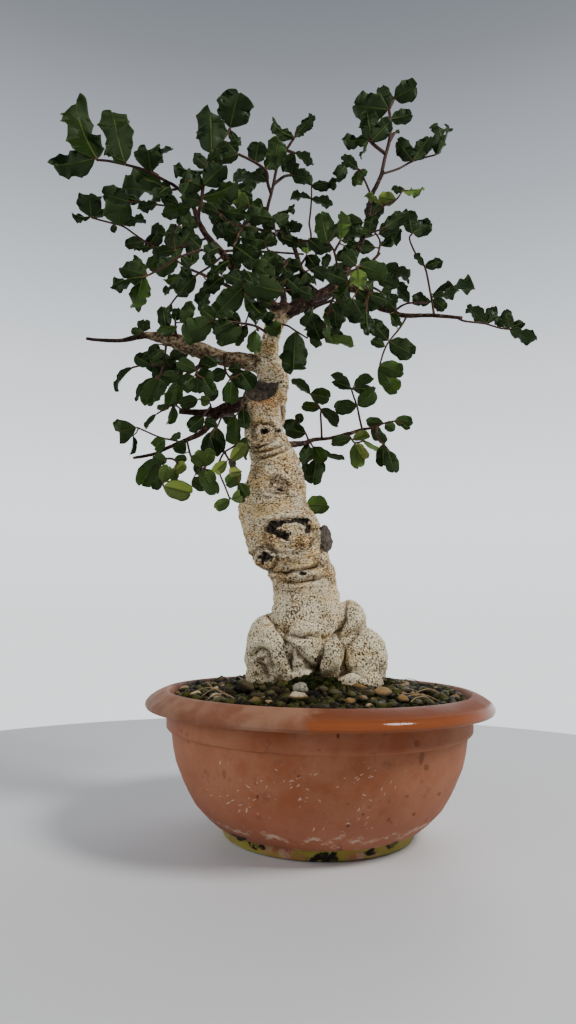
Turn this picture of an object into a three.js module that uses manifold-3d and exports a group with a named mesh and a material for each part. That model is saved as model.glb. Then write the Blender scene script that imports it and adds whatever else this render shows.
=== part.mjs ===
// Carob bonsai in a round plastic pot, in millimetres, +Z up.
// The origin is the middle of the pot's foot on its underside; -Y is the front of the tree.
import * as THREE from 'three';
import { mergeVertices } from 'three/addons/utils/BufferGeometryUtils.js';
import Module from 'manifold-3d';

const wasm = await Module();
wasm.setup();

// Driving dimensions
const RIM_RADIUS = 140;
const POT_HEIGHT = 110.3;
const FOOT_RADIUS = 75.5;
const POT_SIDES = 30;
const DRAIN_HOLE_RADIUS = 6;
const DRAIN_HOLE_RING = 46;
const DRAIN_HOLES = 5;
const SOIL_GAP = 0.45;
const SOIL_CROWN = 117;
const SOIL_EDGE_DROP = 11.5;
const TRUNK_BOTTOM = 100;
const FLARE_TOP = 172;
const SEAT_GAP = 0.3;
const BLADE_THICKNESS = 0.7;
const PETIOLE_HALF = 0.22;
const ROOT_FROM_BEND = 1.4;
const ROOT_FROM_LIMB = 6;
const DEPTH_SPREAD = 2;
const DEPTH_REACH = 110;
const LEAF_SPACING = 4.2;
const LARGE_LEAFLET = 38;
const MIDDLING_LEAFLET = 27;
const SEED = 20260;

// Positions in the lists below are as seen from the front: x and z on the plane through the pot's middle,
// and a depth y behind that plane. A point slides along its line of sight from this eye point.
const EYE = [0, -592, 171];

// Pot profile: radius and height, up the outside and down the inside
const POT_OUTSIDE = [
  [FOOT_RADIUS, 0], [77.5, 8.5], [83, 9.5], [90, 15.5], [99, 25], [108.5, 42], [114.5, 56], [118.6, 76],
  [122.8, 81], [122.8, 96.3], [137.6, 96.6], [RIM_RADIUS, 98], [137, 103], [124.3, POT_HEIGHT],
];
const POT_INSIDE = [
  [121.5, 109], [119.8, 82], [111.4, 56], [105.3, 42], [95.5, 25], [73, 4],
];

// Trunk outline: height, left edge, right edge, and depth over width
const TRUNK_RINGS = [
  [TRUNK_BOTTOM, -55, 46, 0.95], [117, -57, 50, 0.95], [130, -60.5, 56.5, 0.93], [142, -61.5, 55.3, 0.9],
  [152, -59, 48.5, 0.86], [161, -53, 38, 0.84], [170, -41, 30, 0.86], [183, -38.5, 17, 0.92],
  [198, -41, 14.5, 0.92], [206, -45, 13.5, 0.92], [213, -55.5, 10.5, 0.88], [225, -61.3, 6, 0.88],
  [238, -65.5, 2, 0.88], [250, -69, -1.5, 0.88], [260, -70, -8.3, 0.88],
  [270, -68.6, -11.5, 0.88], [281, -64.5, -11, 0.88], [293, -60.8, -15.5, 0.9],
  [304, -60.5, -19.5, 0.92], [313, -64.8, -24, 0.92], [326, -66, -30.8, 0.92],
  [340, -68.7, -34.5, 0.92], [347, -70.8, -33.5, 0.92], [374, -64, -38, 0.9],
];

// Swellings on the root flare: x, y, z of the middle, then the three half sizes
const ROOT_LOBES = [
  [24, 2, 160, 15, 17, 19],
  [-18, -38, 140, 17, 12, 19],
  [7, -39, 139, 14, 12, 18],
];

// Hollows and scars: x, z as seen, depth of the surface, then the three half sizes
const HOLLOWS = [
  [-49.5, 327.5, -16, 3.4, 5, 2.8],
  [-40.5, 244.5, -28, 3.8, 4, 3.2],
  [-28, 237, -31, 6.2, 4.5, 4.6],
  [-45, 218, -27, 5.6, 4.5, 4.2],
  [-14, 204, -27, 5.5, 3, 1.6],
];
const KNOB = { start: [-8, 234.5, -2], end: [9.5, 233.5, -4], radius: 11 };
const STUB_CUT = { x: -52, y: -14, z: 353, tilt: 0.62 };

// Limbs: name, sides, then x, z, depth and radius along each
const LIMBS = [
  ['live top', 10, [[-46, 316, 4, 9], [-43, 338, 7, 12], [-42.5, 357, 7, 13.2], [-41.5, 373, 5, 13.8],
    [-45.5, 386, 3, 12.8], [-47.3, 399, 2, 10.2], [-45, 411, 1, 8.7], [-42.5, 421, 0, 8.2], [-38.5, 431, 0, 8.6],
    [-34, 439, 0, 8.2], [-29, 444, 0, 5]]],
  ['left', 7, [[-44, 386, 2, 9], [-58, 389.5, 0, 8.2], [-71, 392, -1, 6.8], [-86, 394, -2, 6.6],
    [-104, 400.2, -5, 7], [-122, 407.5, -9, 6.4], [-136, 412.4, -12, 5.3], [-146, 414, -13, 4],
    [-158, 416, -15, 3.1], [-178, 411.4, -19, 1.9], [-198, 411.7, -21, 1.6], [-211, 413.3, -22, 1.4]]],
  ['upper left', 6, [[-38, 436, 0, 5], [-50, 451, -4, 4.4], [-62, 464, -8, 4], [-77.5, 476, -12, 3.6],
    [-91, 495, -15, 3.2], [-103.5, 509, -18, 3], [-112.5, 524, -20, 2.6],
    [-118, 539.5, -22, 2.2], [-127, 552.5, -25, 1.8], [-137, 561.5, -28, 1.5], [-147, 567, -30, 1.3]]],
  ['upper left side', 4, [[-91, 495, -15, 1.6], [-80, 496.2, -10, 1.2], [-55, 495, -4, 1.1], [-40, 494, 0, 1],
    [-16, 492, 2, 0.9]]],
  ['right', 6, [[-36, 434, 1, 6.8], [-24, 440.5, 1, 6.5], [-14, 445.3, 2, 6.2], [-4, 449.8, 3, 6],
    [6, 455.5, 4, 5.6], [12, 459.5, 4, 5.2], [26, 459, 10, 3.8], [40, 454, 14, 3.2], [50, 441.5, 16, 2.8],
    [60, 437.6, 18, 2.4], [73, 433.2, 18, 2.2], [98, 433, 18, 1.8], [124.2, 430.5, 18, 1.5]]],
  ['leader', 6, [[8, 457, 4, 4], [15, 466, 6, 3.2], [22, 475, 8, 2.8], [32, 493.4, 12, 2.5],
    [40.4, 521, 16, 2.3], [44.4, 546, 18, 2.1], [49.6, 558, 18, 2.1], [55.6, 572, 18, 2]]],
  ['upper middle', 5, [[-3, 453, 3, 3.6], [-13, 464, 12, 2.8], [-20, 482, 22, 2.3], [-27, 502, 24, 1.9],
    [-41, 511, 20, 1.5], [-54, 515.5, 16, 1.4], [-67, 519.5, 12, 1.3], [-80, 521.5, 8, 1.2],
    [-88, 524, 5, 1.1]]],
  ['low right', 5, [[-36, 316, 4, 3.8], [-24, 316, 13, 3], [-14, 317.3, 20, 2.3], [-5, 320.3, 25, 1.8],
    [6.5, 321.3, 28, 1.4], [16.2, 323.1, 28, 1.9], [21, 324.5, 28, 2.1], [27, 326.3, 28, 1.7],
    [34.5, 329, 28, 1.4], [46, 331, 28, 1.1]]],
  ['low left', 7, [[-52, 350, 2, 7], [-64, 353, 10, 6.8], [-79, 349, 15, 6], [-91.7, 345, 18, 4.6],
    [-105, 344.3, 18, 3.2], [-124.7, 346, 16, 2.7]]],
  ['low left fork', 6, [[-88, 346, 17, 4], [-97.4, 334, 14, 3.1], [-104.5, 326, 10, 2.7], [-118.6, 319, 6, 2.1],
    [-132.9, 313, 2, 1.7], [-145.8, 307, -2, 1.5], [-163.3, 303.6, -6, 1.3]]],
  ['back left', 5, [[-41, 422, 3, 4], [-52, 437, 22, 3.2], [-68, 452, 44, 2.4], [-92, 466, 66, 1.6],
    [-118, 478, 84, 1.2]]],
  ['back right', 5, [[-4, 449, 4, 4], [8, 461, 26, 3], [24, 473, 50, 2.2], [40, 480, 74, 1.5],
    [52, 492, 92, 1.2]]],
  ['back low', 5, [[-92, 396, -2, 4], [-102, 390, 20, 2.8], [-112, 384, 42, 2], [-122, 377, 62, 1.4]]],
  ['back middle', 5, [[-36, 436, 3, 4], [-34, 452, 26, 3], [-42, 474, 50, 2.2], [-58, 496, 66, 1.5],
    [-66, 514, 78, 1.2]]],
  ['front left', 5, [[-58, 460, -7, 2.8], [-60, 466, -24, 2], [-58, 474, -42, 1.5], [-56, 480, -56, 1.2]]],
  ['front right', 5, [[-8, 448, 2, 3], [2, 451, -18, 2.2], [14, 455, -36, 1.6], [24, 462, -50, 1.2]]],
];

// Leafy sprays: name, twig radius, twigs (x, z, depth along each), then the leaflets, one in a row:
// x and z of the leaflet's base, x and z of its tip, its width as seen, and its shade from 0 dark to 4 yellow
const SPRAYS = [
  ['spray_upper_left_tip', 1.2,
    [[[-144, 565.5, -29], [-158.5, 574, -31], [-171.6, 579.8, -33], [-196.9, 586.6, -36], [-211, 588.5, -38]]],
    [[-211.6, 590.5, -236, 650, 30, 1], [-184.3, 585, -197, 637, 29, 1], [-213, 590, -254, 583, 23, 0],
      [-183, 585, -204, 601, 6, 0], [-158.9, 575.5, -163.3, 601, 25, 1], [-158.9, 576, -141.5, 602, 7, 0]]],
  ['spray_left_broad', 1.1,
    [[[-133, 558, -27], [-139, 557, -30], [-146, 558, -34]]],
    [[-141, 558, -176, 579, 18, 1], [-144, 557, -186, 564, 14, 1], [-140, 556, -158, 548, 9, 0]]],
  ['spray_left_high', 1,
    [[[-118, 539.5, -22], [-131, 540.5, -16], [-146, 541.5, -12], [-160, 543.5, -10], [-178, 546, -10]]],
    [[-178.5, 546, -204.5, 554.5, 20, 0], [-152, 544, -171, 539.5, 9, 0], [-132, 543, -149, 551, 10, 0],
      [-121, 538.5, -147.7, 534, 13, 1], [-122, 537, -129, 521, 14, 1], [-168, 546, -188, 556, 10, 0]]],
  ['spray_left_middle', 1,
    [[[-103.5, 509, -18], [-118, 504, -12], [-135, 499, -10], [-150, 501, -12], [-162, 506.5, -14],
      [-170.5, 512.5, -16], [-183, 521.5, -18], [-198, 526, -20], [-212.6, 530.2, -22]],
    [[-135, 499, -10], [-138, 508, -12], [-134, 522, -14]]],
    [[-212.6, 531, -216.5, 555, 22, 0],
      [-185, 522, -189.3, 545, 25, 2], [-182, 523, -162, 529, 9, 0],
      [-162, 506, -180.5, 504, 11, 0], [-160, 500, -147, 522.5, 14, 0],
      [-130, 500, -118, 519, 15, 0], [-133.6, 497, -154.5, 494, 11, 1]]],
  ['spray_left_lower', 1,
    [[[-91, 494, -15], [-108, 497, -24], [-120, 494, -30], [-131.5, 489.5, -33], [-150.5, 477, -36],
      [-158, 473, -37]]],
    [[-158, 473, -182.5, 481.5, 17, 1], [-160, 475, -172, 491, 11, 1], [-161, 472, -166.6, 438.5, 16, 2],
      [-162, 471, -192, 462.5, 9, 0], [-131, 489, -148.5, 475.5, 14, 1], [-128, 491, -118, 481, 9, 0]]],
  ['spray_left_drooping', 1,
    [[[-89, 492, -14.5], [-100, 482, -4], [-113, 473, 2], [-121, 464, 4], [-128, 456, 6], [-137, 443, 6]]],
    [[-114.3, 472.5, -131, 453, 15, 0], [-125, 461, -143.5, 457.5, 6, 0], [-99, 482, -105, 497, 12, 0],
      [-96, 480, -100, 463, 11, 0]]],
  ['spray_left_front', 1,
    [[[-128, 410, -10], [-130, 420, -16], [-131, 431, -20]], [[-130, 420, -16], [-139, 423, -18]]],
    [[-139.3, 423, -142.5, 443.3, 13, 0], [-131, 430, -129, 442, 9, 0], [-126, 428, -115.5, 447, 12, 1],
      [-129, 424, -148, 419, 8, 1]]],
  ['spray_on_left_limb', 1,
    [[[-159, 415.5, -15], [-160, 420, -19]]],
    [[-160, 420, -158.5, 432, 12, 0]]],
  ['spray_middle_left', 1.1,
    [[[-46, 416, 1], [-58, 424, -14], [-72, 427, -20], [-86, 429, -26], [-97, 430, -28]],
      [[-58, 424, -14], [-56, 420, -20]]],
    [[-98, 429, -124.5, 414, 22, 1], [-95, 430, -108, 442, 14, 1], [-71, 424, -94, 410, 17, 1],
      [-66, 425, -77, 407, 11, 1], [-59, 420, -59.8, 398.8, 13, 2], [-50, 422, -35.5, 421, 13, 2],
      [-72, 427, -86, 438, 11, 0], [-84, 430, -96, 447, 10, 0]]],
  ['spray_front_left', 1,
    [[[-56, 479, -55], [-62, 474, -62], [-70, 462, -66]], [[-58, 476, -48], [-44, 468, -58], [-34, 457, -62]]],
    [[-70, 461, -95.6, 433.5, 21, 1], [-34, 456, -72, 466, 22, 1], [-42, 468, -62, 484, 18, 1],
      [-68, 466, -86, 474, 15, 0], [-54, 481, -40, 494, 14, 1], [-72, 460, -82, 444, 10, 0],
      [-38, 464, -24, 473, 12, 0]]],
  ['spray_high_left_crown', 1.5,
    [[[-112, 523, -19.5], [-113, 532, -30], [-111, 545, -34], [-109.5, 560, -35], [-108, 577, -35],
      [-103, 594, -34], [-97.5, 600.5, -33], [-90, 611, -31], [-86, 618, -30]]],
    [[-102.7, 594, -105.3, 637.5, 28, 0], [-86, 619.5, -78.7, 658, 32, 0], [-86, 617, -75.5, 600, 8, 0],
      [-107, 579, -119.5, 592.5, 11, 0], [-109, 575, -139, 583, 7, 0], [-109, 560, -131, 569, 20, 0],
      [-109, 562, -90, 582, 20, 0], [-111, 549, -76, 564, 14, 1], [-99, 598, -86, 601, 10, 0],
      [-106, 585, -93, 594, 12, 1], [-111, 546, -130, 549, 14, 1]]],
  ['spray_top_centre', 1.5,
    [[[-52, 514.5, 17], [-49.7, 537.5, 10], [-46.9, 550, 8], [-45, 559, 8], [-41.8, 578, 8], [-38.8, 587, 8],
      [-33, 596, 8], [-28.9, 602.7, 8], [-26.2, 607.3, 8]],
    [[-47, 551, 8], [-50, 562, 4], [-51.5, 574, 0], [-62, 583, -4], [-77.4, 591.5, -8]],
    [[-45, 560, 8], [-35, 568.5, 12], [-28, 569.5, 14]], [[-33, 596, 8], [-26, 592, 4]]],
    [[-77.5, 591.5, -96, 587, 11, 0], [-79, 593, -88, 604, 12, 0], [-62, 583, -59, 605, 18, 0],
      [-46, 576, -40, 607, 19, 2], [-52, 577, -43, 590, 11, 1], [-26.4, 607.5, -48, 624, 11, 0],
      [-26, 608, -11, 619, 8, 0], [-22, 613, -8, 631, 10, 0], [-26, 592, -35.3, 572.5, 12, 0],
      [-25, 592, -6.5, 581, 8, 0], [-50.5, 564, -80, 572, 8, 0], [-51, 566, -62, 576, 10, 0],
      [-28, 570, -12, 567, 13, 0], [-29, 571, -26, 584, 12, 0]]],
  ['spray_slender_centre', 1,
    [[[-27, 503, 24], [-12, 505, 22], [-9.8, 510.5, 22], [-11.5, 521.5, 22], [-10.6, 531, 22], [-9.7, 545.6, 22],
      [-9.8, 558.7, 22]]],
    [[-9.8, 559.5, -20, 575, 9, 0], [-9.8, 559, 14.6, 560.5, 10, 0], [-10, 546, -29.5, 547, 6, 0],
      [-9.5, 545.6, 11, 540.5, 8, 0]]],
  ['spray_leader_top', 1.7,
    [[[54, 568.5, 18], [57.4, 586, 18], [61.6, 603, 18], [62.8, 620, 18], [61.9, 630, 18], [61, 636, 18]],
      [[57, 589.5, 18], [46, 600, 14], [43, 605, 13]], [[61, 636, 18], [66.5, 646, 22]],
      [[61, 602, 18], [66, 610, 22]]],
    [[66.5, 646, 88, 658.5, 19, 0], [63.4, 624.5, 83.5, 629, 13, 0],
      [60, 634, 27.5, 640, 24, 0], [61, 635, 52, 658.5, 13, 0], [45, 602.5, 63.5, 623.5, 15, 0],
      [45, 603, 41, 634, 18, 0], [43, 605, 17.5, 604.3, 11, 0]]],
  ['spray_leader_left', 1,
    [[[44.8, 548, 18], [38.6, 564, 14], [34, 574, 12], [21.3, 579.5, 10]]],
    [[21.3, 579.5, 12.5, 564.5, 12, 0], [33, 575, 19, 584, 7, 0], [34, 574, 31, 557.5, 11, 2]]],
  ['spray_leader_right', 1.1,
    [[[54.5, 569.3, 18], [70, 574.6, 22], [81.1, 581, 24], [93.3, 585, 26], [103.6, 587.5, 27]]],
    [[82, 583, 68, 603.5, 15, 0], [83, 583, 99, 607, 14, 0], [104, 588, 107, 619, 12, 0]]],
  ['spray_leader_low', 1,
    [[[41.4, 525.5, 16.5], [47.7, 531.5, 12], [55.8, 538, 8], [67, 543.7, 6], [73.2, 553, 6]]],
    [[67, 543.7, 51, 546.5, 12, 4]]],
  ['spray_leader_side', 1,
    [[[38, 511.5, 15], [46, 512.5, 8], [56, 516.5, 4]]],
    [[57, 517, 77, 530.5, 14, 0], [42, 512.5, 46.5, 529, 13, 0]]],
  ['spray_right_high', 1.1,
    [[[99.5, 433, 18], [98, 445.5, 22], [96.2, 456.5, 24], [92, 479, 26], [83.9, 491.8, 28], [78.8, 505.5, 28],
      [81, 510.5, 28]]],
    [[92, 479, 108.5, 484, 9, 0], [81.8, 511.5, 99.3, 521.5, 15, 0],
      [81, 511.5, 77.5, 534.5, 14, 0], [97, 446, 79.8, 450.5, 9, 0], [98, 451, 121.5, 456, 8, 1],
      [99, 453, 137, 456.5, 8, 1], [99, 448, 110, 438.5, 11, 1]]],
  ['spray_right_middle', 1,
    [[[64, 436.2, 18], [70, 441.5, 14], [77, 444.5, 12], [86, 444.8, 12], [95, 444.8, 12]]],
    [[78, 446, 64.5, 466, 10, 1], [66, 439, 54, 452, 12, 0],
      [61, 434.5, 70, 423, 9, 1]]],
  ['spray_right_tip', 1,
    [[[120, 430.2, 18], [126, 427.6, 18], [139.7, 425.7, 20], [145.5, 424.6, 21], [157, 420.8, 23],
      [164.6, 419.7, 24]]],
    [[145.5, 425.5, 127.3, 441, 11, 0], [145.7, 425.5, 152, 441.3, 11, 0], [164.5, 420, 149, 434, 8, 0],
      [165, 420, 188, 410, 11, 0], [165, 421, 161.5, 438.5, 10, 0]]],
  ['spray_right_low', 1,
    [[[75.6, 432.3, 18], [69.5, 421.8, 14], [59.7, 409, 10], [55.2, 400, 8], [51.7, 388, 6]]],
    [[60, 409, 82, 396.5, 18, 1], [59, 410.5, 44, 428.5, 14, 0], [51.7, 387.5, 73, 381, 14, 2],
      [51.5, 387.5, 67, 362, 16, 2], [56, 405, 44, 411, 8, 0]]],
  ['spray_low_right_first', 1,
    [[[1.2, 321, 27], [0.5, 334, 26], [0, 343, 25], [-0.5, 348.5, 24], [-9.2, 361.5, 22]]],
    [[-0.8, 348.5, -16.9, 351, 9, 1], [0.4, 348, 16, 333, 10, 0], [-9.2, 361.5, -27, 373, 8, 0],
      [-9, 361.5, 8.5, 358, 14, 1]]],
  ['spray_low_right_second', 1,
    [[[36, 329.3, 28], [33.5, 341, 26], [31.7, 350, 25], [28.7, 359, 24], [26.7, 365.5, 24]]],
    [[31.2, 350.8, 11.2, 348.5, 13, 1], [32.7, 351, 48, 364.5, 15, 1], [26.7, 366, 9.2, 371.5, 6, 0],
      [27.6, 366.3, 48, 367.5, 8, 0]]],
  ['spray_low_right_tip', 1,
    [[[43, 330.5, 28], [50, 332.8, 28], [55, 335, 28], [64, 337, 27]],
      [[47, 331.5, 28], [48.5, 324, 22], [54, 317, 18], [58, 312, 16]]],
    [[54, 335.5, 39, 336.5, 9, 1], [64, 337, 80.3, 337, 10, 1],
      [48, 328.5, 56.5, 317.5, 8, 0], [54, 316.5, 54, 296.5, 13, 0], [58, 311, 64, 291, 12, 0]]],
  ['spray_low_right_front', 0.9,
    [[[24, 325.3, 28], [26.5, 321.5, 20], [30, 317.5, 14], [38, 319.5, 10]]],
    [[28, 321, 43, 325, 8, 3], [26.5, 321.5, 8.8, 317.5, 9, 1],
      [29.6, 317, 33.4, 295, 13, 2], [32, 317, 40.5, 303.5, 7, 4]]],
  ['spray_low_right_back', 0.9,
    [[[-10, 318.6, 25], [-14, 328, 30], [-22, 338, 32]], [[-6, 320, 25.5], [-5, 311, 32], [-3, 304, 34]]],
    [[-13, 326, -31.5, 331, 14, 0], [-21, 337, -33.5, 331.5, 9, 0], [-5, 314, 3, 300, 13, 1],
      [-6, 312, -17, 303, 13, 1], [-3.5, 303.5, -6.5, 280, 15, 0],
      [-4, 306, 2.5, 291, 9, 0]]],
  ['spray_behind_trunk', 0.9,
    [[[-30, 262, 7], [-20, 263.5, 16], [-12, 263.5, 18]]],
    [[-11.5, 263.5, 7.6, 263, 16, 2]]],
  ['spray_hanging_leaf', 0.9,
    [[[-38, 426, 0], [-30, 424.3, -8], [-22.7, 419.5, -12], [-12, 412.5, -14]]],
    [[-22.7, 418.6, -24.3, 379.6, 24, 0], [-10, 414, 0, 405, 8, 0]]],
  ['spray_low_left_tip', 1,
    [[[-141, 309.3, 0], [-140.5, 302, -7], [-137.5, 291, -13], [-136, 280, -18]],
      [[-140.5, 302, -7], [-129, 303, -13], [-124, 299, -17]]],
    [[-142, 303, -156.3, 278.5, 18, 1], [-135.8, 278.5, -110.2, 272.5, 17, 3],
      [-136.5, 283, -132, 297.5, 12, 2], [-126, 291, -117, 300, 10, 3],
      [-138, 288, -144, 275.5, 9, 0]]],
  ['spray_low_left_middle', 1,
    [[[-116.7, 320, 7], [-112, 304, -2], [-104, 296, -8], [-98, 293, -12]]],
    [[-105, 293.5, -88.5, 271.5, 13, 2], [-98, 298, -111, 308, 14, 2], [-99, 294, -91.5, 283, 9, 2],
      [-100, 297, -94, 312, 11, 2]]],
  ['spray_low_left_inner', 0.9,
    [[[-58, 321, 0], [-70, 317, -12], [-77, 313, -16], [-84, 308, -18], [-88, 298, -19], [-86.5, 289, -20],
      [-83, 281, -21], [-77.5, 268, -22]], [[-84, 308, -18], [-79, 302.5, -21], [-70, 292.5, -24]]],
    [[-77.5, 301.8, -65, 317, 11, 3], [-81, 301, -92.3, 290.5, 10, 3],
      [-68, 289, -82, 281, 12, 1], [-77.5, 267, -90.5, 259.5, 10, 2]]],
  ['spray_low_left_purple', 1,
    [[[-84, 348, 16], [-87, 340, 4], [-90, 332, -2]], [[-86, 342, 6], [-78, 342, -4], [-74.5, 341, -8]]],
    [[-90.5, 331, -89.5, 307, 15, 0], [-74.5, 341, -76, 314, 13, 1]]],
  ['spray_low_left_outer', 0.9,
    [[[-122, 317.3, 5], [-126, 319, 0], [-140, 322, -6], [-153, 327.5, -8], [-161, 331, -9]]],
    [[-162, 331, -180, 326.5, 21, 1],
      [-136, 321, -146, 312, 12, 1]]],
  ['spray_cut_stub', 0.9,
    [[[-121, 345.7, 16.5], [-126, 350, 10], [-130, 351.5, 6], [-144, 343.5, 2]]],
    [[-126.5, 353, -126, 370.5, 9, 2], [-130, 351, -133.5, 333, 8, 1]]],
  ['spray_below_left_limb', 1,
    [[[-138, 411, -12.5], [-139, 397, -8], [-141, 384, -8], [-144, 376.5, -9]],
      [[-140.5, 388, -8], [-155, 388.5, -4], [-168, 386, -2]]],
    [[-144.5, 376, -155.6, 350.5, 14, 1], [-143.5, 376, -134, 367, 11, 0],
      [-141, 379, -125.5, 377, 10, 0], [-152, 389, -166.5, 397, 12, 0], [-140, 390, -150, 397.5, 9, 0],
      [-138.5, 393, -130, 383, 12, 0]]],
  ['spray_under_left_limb', 1,
    [[[-105, 398, -5], [-108, 388, -14], [-111, 379, -20]]],
    [[-112, 378, -124.5, 366, 16, 0], [-110, 380, -94, 371, 18, 1], [-111, 384, -128, 392, 12, 1],
      [-108, 388, -95, 390.5, 9, 1], [-110, 376, -108, 362, 12, 0]]],
  ['spray_under_left_inner', 1,
    [[[-86, 391, -2], [-84, 382, -12], [-79, 375, -18]]],
    [[-80, 378, -56, 371, 17, 0], [-79, 373, -79.5, 352, 15, 1], [-84, 382, -96, 377, 12, 0]]],
  ['spray_stub_leaves', 0.9,
    [[[-96, 345.5, 18], [-97.5, 353, 6], [-107, 357, 0]], [[-97, 350, 10], [-103, 341, 0]]],
    [[-108, 356.5, -125, 352, 12, 0], [-102.5, 341, -116, 329, 13, 0],
      [-98.5, 355, -93, 368, 11, 0]]],
  ['spray_centre_low', 1.1,
    [[[13, 455, -35], [9, 446, -40], [6, 437, -42]], [[10, 448, -39], [-4, 442, -34], [-10, 437, -32]],
      [[6, 437, -42], [3, 420, -44], [5, 409, -44]]],
    [[-10, 437, 0, 408.5, 18, 0], [9, 445, 16, 424, 20, 1], [4, 436, 6, 407, 7, 1], [5, 409, 30, 405.5, 9, 3],
      [14, 452, 29, 436, 15, 1]]],
  ['spray_centre_front', 1.1,
    [[[23, 461, -49], [27, 470, -56], [32, 479, -60]], [[24, 462.5, -50], [36, 460, -56], [44, 455, -58]]],
    [[31, 481, 20, 494, 13, 1], [33, 477.5, 33, 458.5, 15, 3], [35, 480, 60, 472, 17, 2],
      [24, 466, 2, 476, 15, 0], [25, 462, 14, 448, 15, 1], [45, 455, 50, 443.5, 11, 1]]],
  ['spray_centre_right', 1.1,
    [[[38, 455.5, 13.5], [44, 462, 6], [52, 476, 2]], [[43, 461, 8], [52, 456, 0], [56, 450, -2]]],
    [[52, 477, 80, 468, 13, 0], [55, 450, 68, 447, 11, 0], [46, 466, 36, 452, 12, 0], [50, 470, 60, 462, 9, 0]]],
  ['spray_centre_top', 1.1,
    [[[14, 464.5, 5.5], [14, 480, -6], [11, 495, -12], [6, 503, -14]], [[11, 495, -12], [17, 505, -12]]],
    [[5, 503, -1.5, 534.5, 18, 2], [17, 506, 16, 533, 12, 3],
      [13, 487, 24, 494, 10, 1]]],
  ['spray_centre_dark', 1.1,
    [[[-20, 482, 22], [-17, 477, 8], [-15, 475, 0]], [[-20.5, 484, 22], [-13, 491, 12]]],
    [[-15, 474, -28, 449.5, 18, 0], [-13, 491, -3, 477, 14, 0],
      [-17, 478, -6, 464, 9, 0], [-18, 479, -34, 484, 12, 0]]],
  ['spray_upper_middle_front', 1,
    [[[-41, 511, 20], [-43, 518, 6], [-44, 528, -4]], [[-42, 515, 12], [-28, 514, 2]]],
    [[-45, 529, -23.6, 536.5, 6, 0], [-45, 527, -71, 532, 14, 1], [-28, 514, -21, 524, 12, 0],
      [-43, 518, -55, 524, 9, 0], [-31, 514, -36, 526, 10, 0], [-40, 516, -28, 503, 12, 1]]],
  ['spray_upper_middle_left', 1,
    [[[-67, 519.5, 12], [-66, 528, -2], [-67, 540, -6]], [[-66, 524, 4], [-76, 513, -10]]],
    [[-66.8, 541.5, -85, 553.6, 13, 3], [-65, 537, -55, 546, 8, 2], [-68, 531, -90, 536, 12, 1],
      [-70, 519, -58, 505, 14, 1], [-77, 512, -92, 520, 12, 0], [-76, 511, -84, 500, 11, 1],
      [-66, 532, -58, 521, 10, 1]]],
  ['spray_upper_middle_end', 1,
    [[[-85, 523, 6.5], [-93, 532, 4], [-101, 537, 4]]],
    [[-85, 525, -101, 529, 10, 0], [-96, 534, -112, 541, 10, 1],
      [-99, 536, -94, 549, 8, 1]]],
  ['spray_side_twig', 0.9,
    [[[-48, 494.6, -2], [-50, 500, -10], [-52, 505, -14]], [[-28, 493, 1], [-32, 486, -10], [-34, 480, -14]]],
    [[-52, 505, -64, 498, 10, 1], [-33, 483, -46, 488, 9, 0]]],
];

// Sprays on the limbs at the back of the crown: name, twig end points as above, and how many pairs of leaflets
const BACK_SPRAYS = [
  ['spray_back_left', [[-112, 475, 80], [-128, 484, 98], [-140, 496, 112]], 3],
  ['spray_back_right', [[50, 490, 90], [52, 505, 104], [40, 522, 116]], 3],
  ['spray_back_low', [[-119, 379, 57], [-132, 372, 76], [-142, 378, 94]], 3],
  ['spray_back_middle', [[-65, 511, 76.5], [-72, 528, 92], [-84, 548, 100]], 3],
];

// Seeded random numbers
function randomSource(seed) {
  let state = seed >>> 0;
  return () => {
    state = (state + 0x6d2b79f5) >>> 0;
    let mixed = Math.imul(state ^ (state >>> 15), state | 1);
    mixed = (mixed + Math.imul(mixed ^ (mixed >>> 7), mixed | 61)) ^ mixed;
    return ((mixed ^ (mixed >>> 14)) >>> 0) / 4294967296;
  };
}

// Vector helpers on plain three-number lists
const add = (a, b) => [a[0] + b[0], a[1] + b[1], a[2] + b[2]];
const sub = (a, b) => [a[0] - b[0], a[1] - b[1], a[2] - b[2]];
const scale = (a, k) => [a[0] * k, a[1] * k, a[2] * k];
const dot = (a, b) => a[0] * b[0] + a[1] * b[1] + a[2] * b[2];
const cross = (a, b) => [
  a[1] * b[2] - a[2] * b[1],
  a[2] * b[0] - a[0] * b[2],
  a[0] * b[1] - a[1] * b[0],
];
const size = (a) => Math.sqrt(dot(a, a));
const unit = (a) => scale(a, 1 / size(a));

// A point seen at x, z on the middle plane, moved to depth y along its line of sight
function seen(x, z, y) {
  const stretch = 1 + y / -EYE[1];
  return [x * stretch, y, EYE[2] + (z - EYE[2]) * stretch];
}

// The drawn depths of limbs and twigs, spread so that the crown is rounder, with the outermost held in
const deepen = (y) => DEPTH_REACH * Math.tanh((DEPTH_SPREAD * y) / DEPTH_REACH);

// Solids and meshes
function toSolid(geometry) {
  const bare = geometry.clone();
  bare.deleteAttribute('normal');
  bare.deleteAttribute('uv');
  const merged = mergeVertices(bare, 1e-4);
  return new wasm.Manifold(new wasm.Mesh({
    numProp: 3,
    vertProperties: new Float32Array(merged.attributes.position.array),
    triVerts: new Uint32Array(merged.index.array),
  }));
}

function toMesh(name, solid, color, roughness) {
  const data = solid.getMesh();
  const geometry = new THREE.BufferGeometry();
  geometry.setAttribute('position', new THREE.BufferAttribute(new Float32Array(data.vertProperties), 3));
  geometry.setIndex(Array.from(data.triVerts));
  geometry.computeVertexNormals();
  const mesh = new THREE.Mesh(geometry, new THREE.MeshStandardMaterial({ color, roughness, metalness: 0 }));
  mesh.name = name;
  return mesh;
}

function joinAll(solids) {
  return solids.reduce((whole, next) => whole.add(next));
}

function largestPiece(solid) {
  const pieces = solid.decompose();
  return pieces.reduce((best, next) => (next.volume() > best.volume() ? next : best));
}

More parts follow.
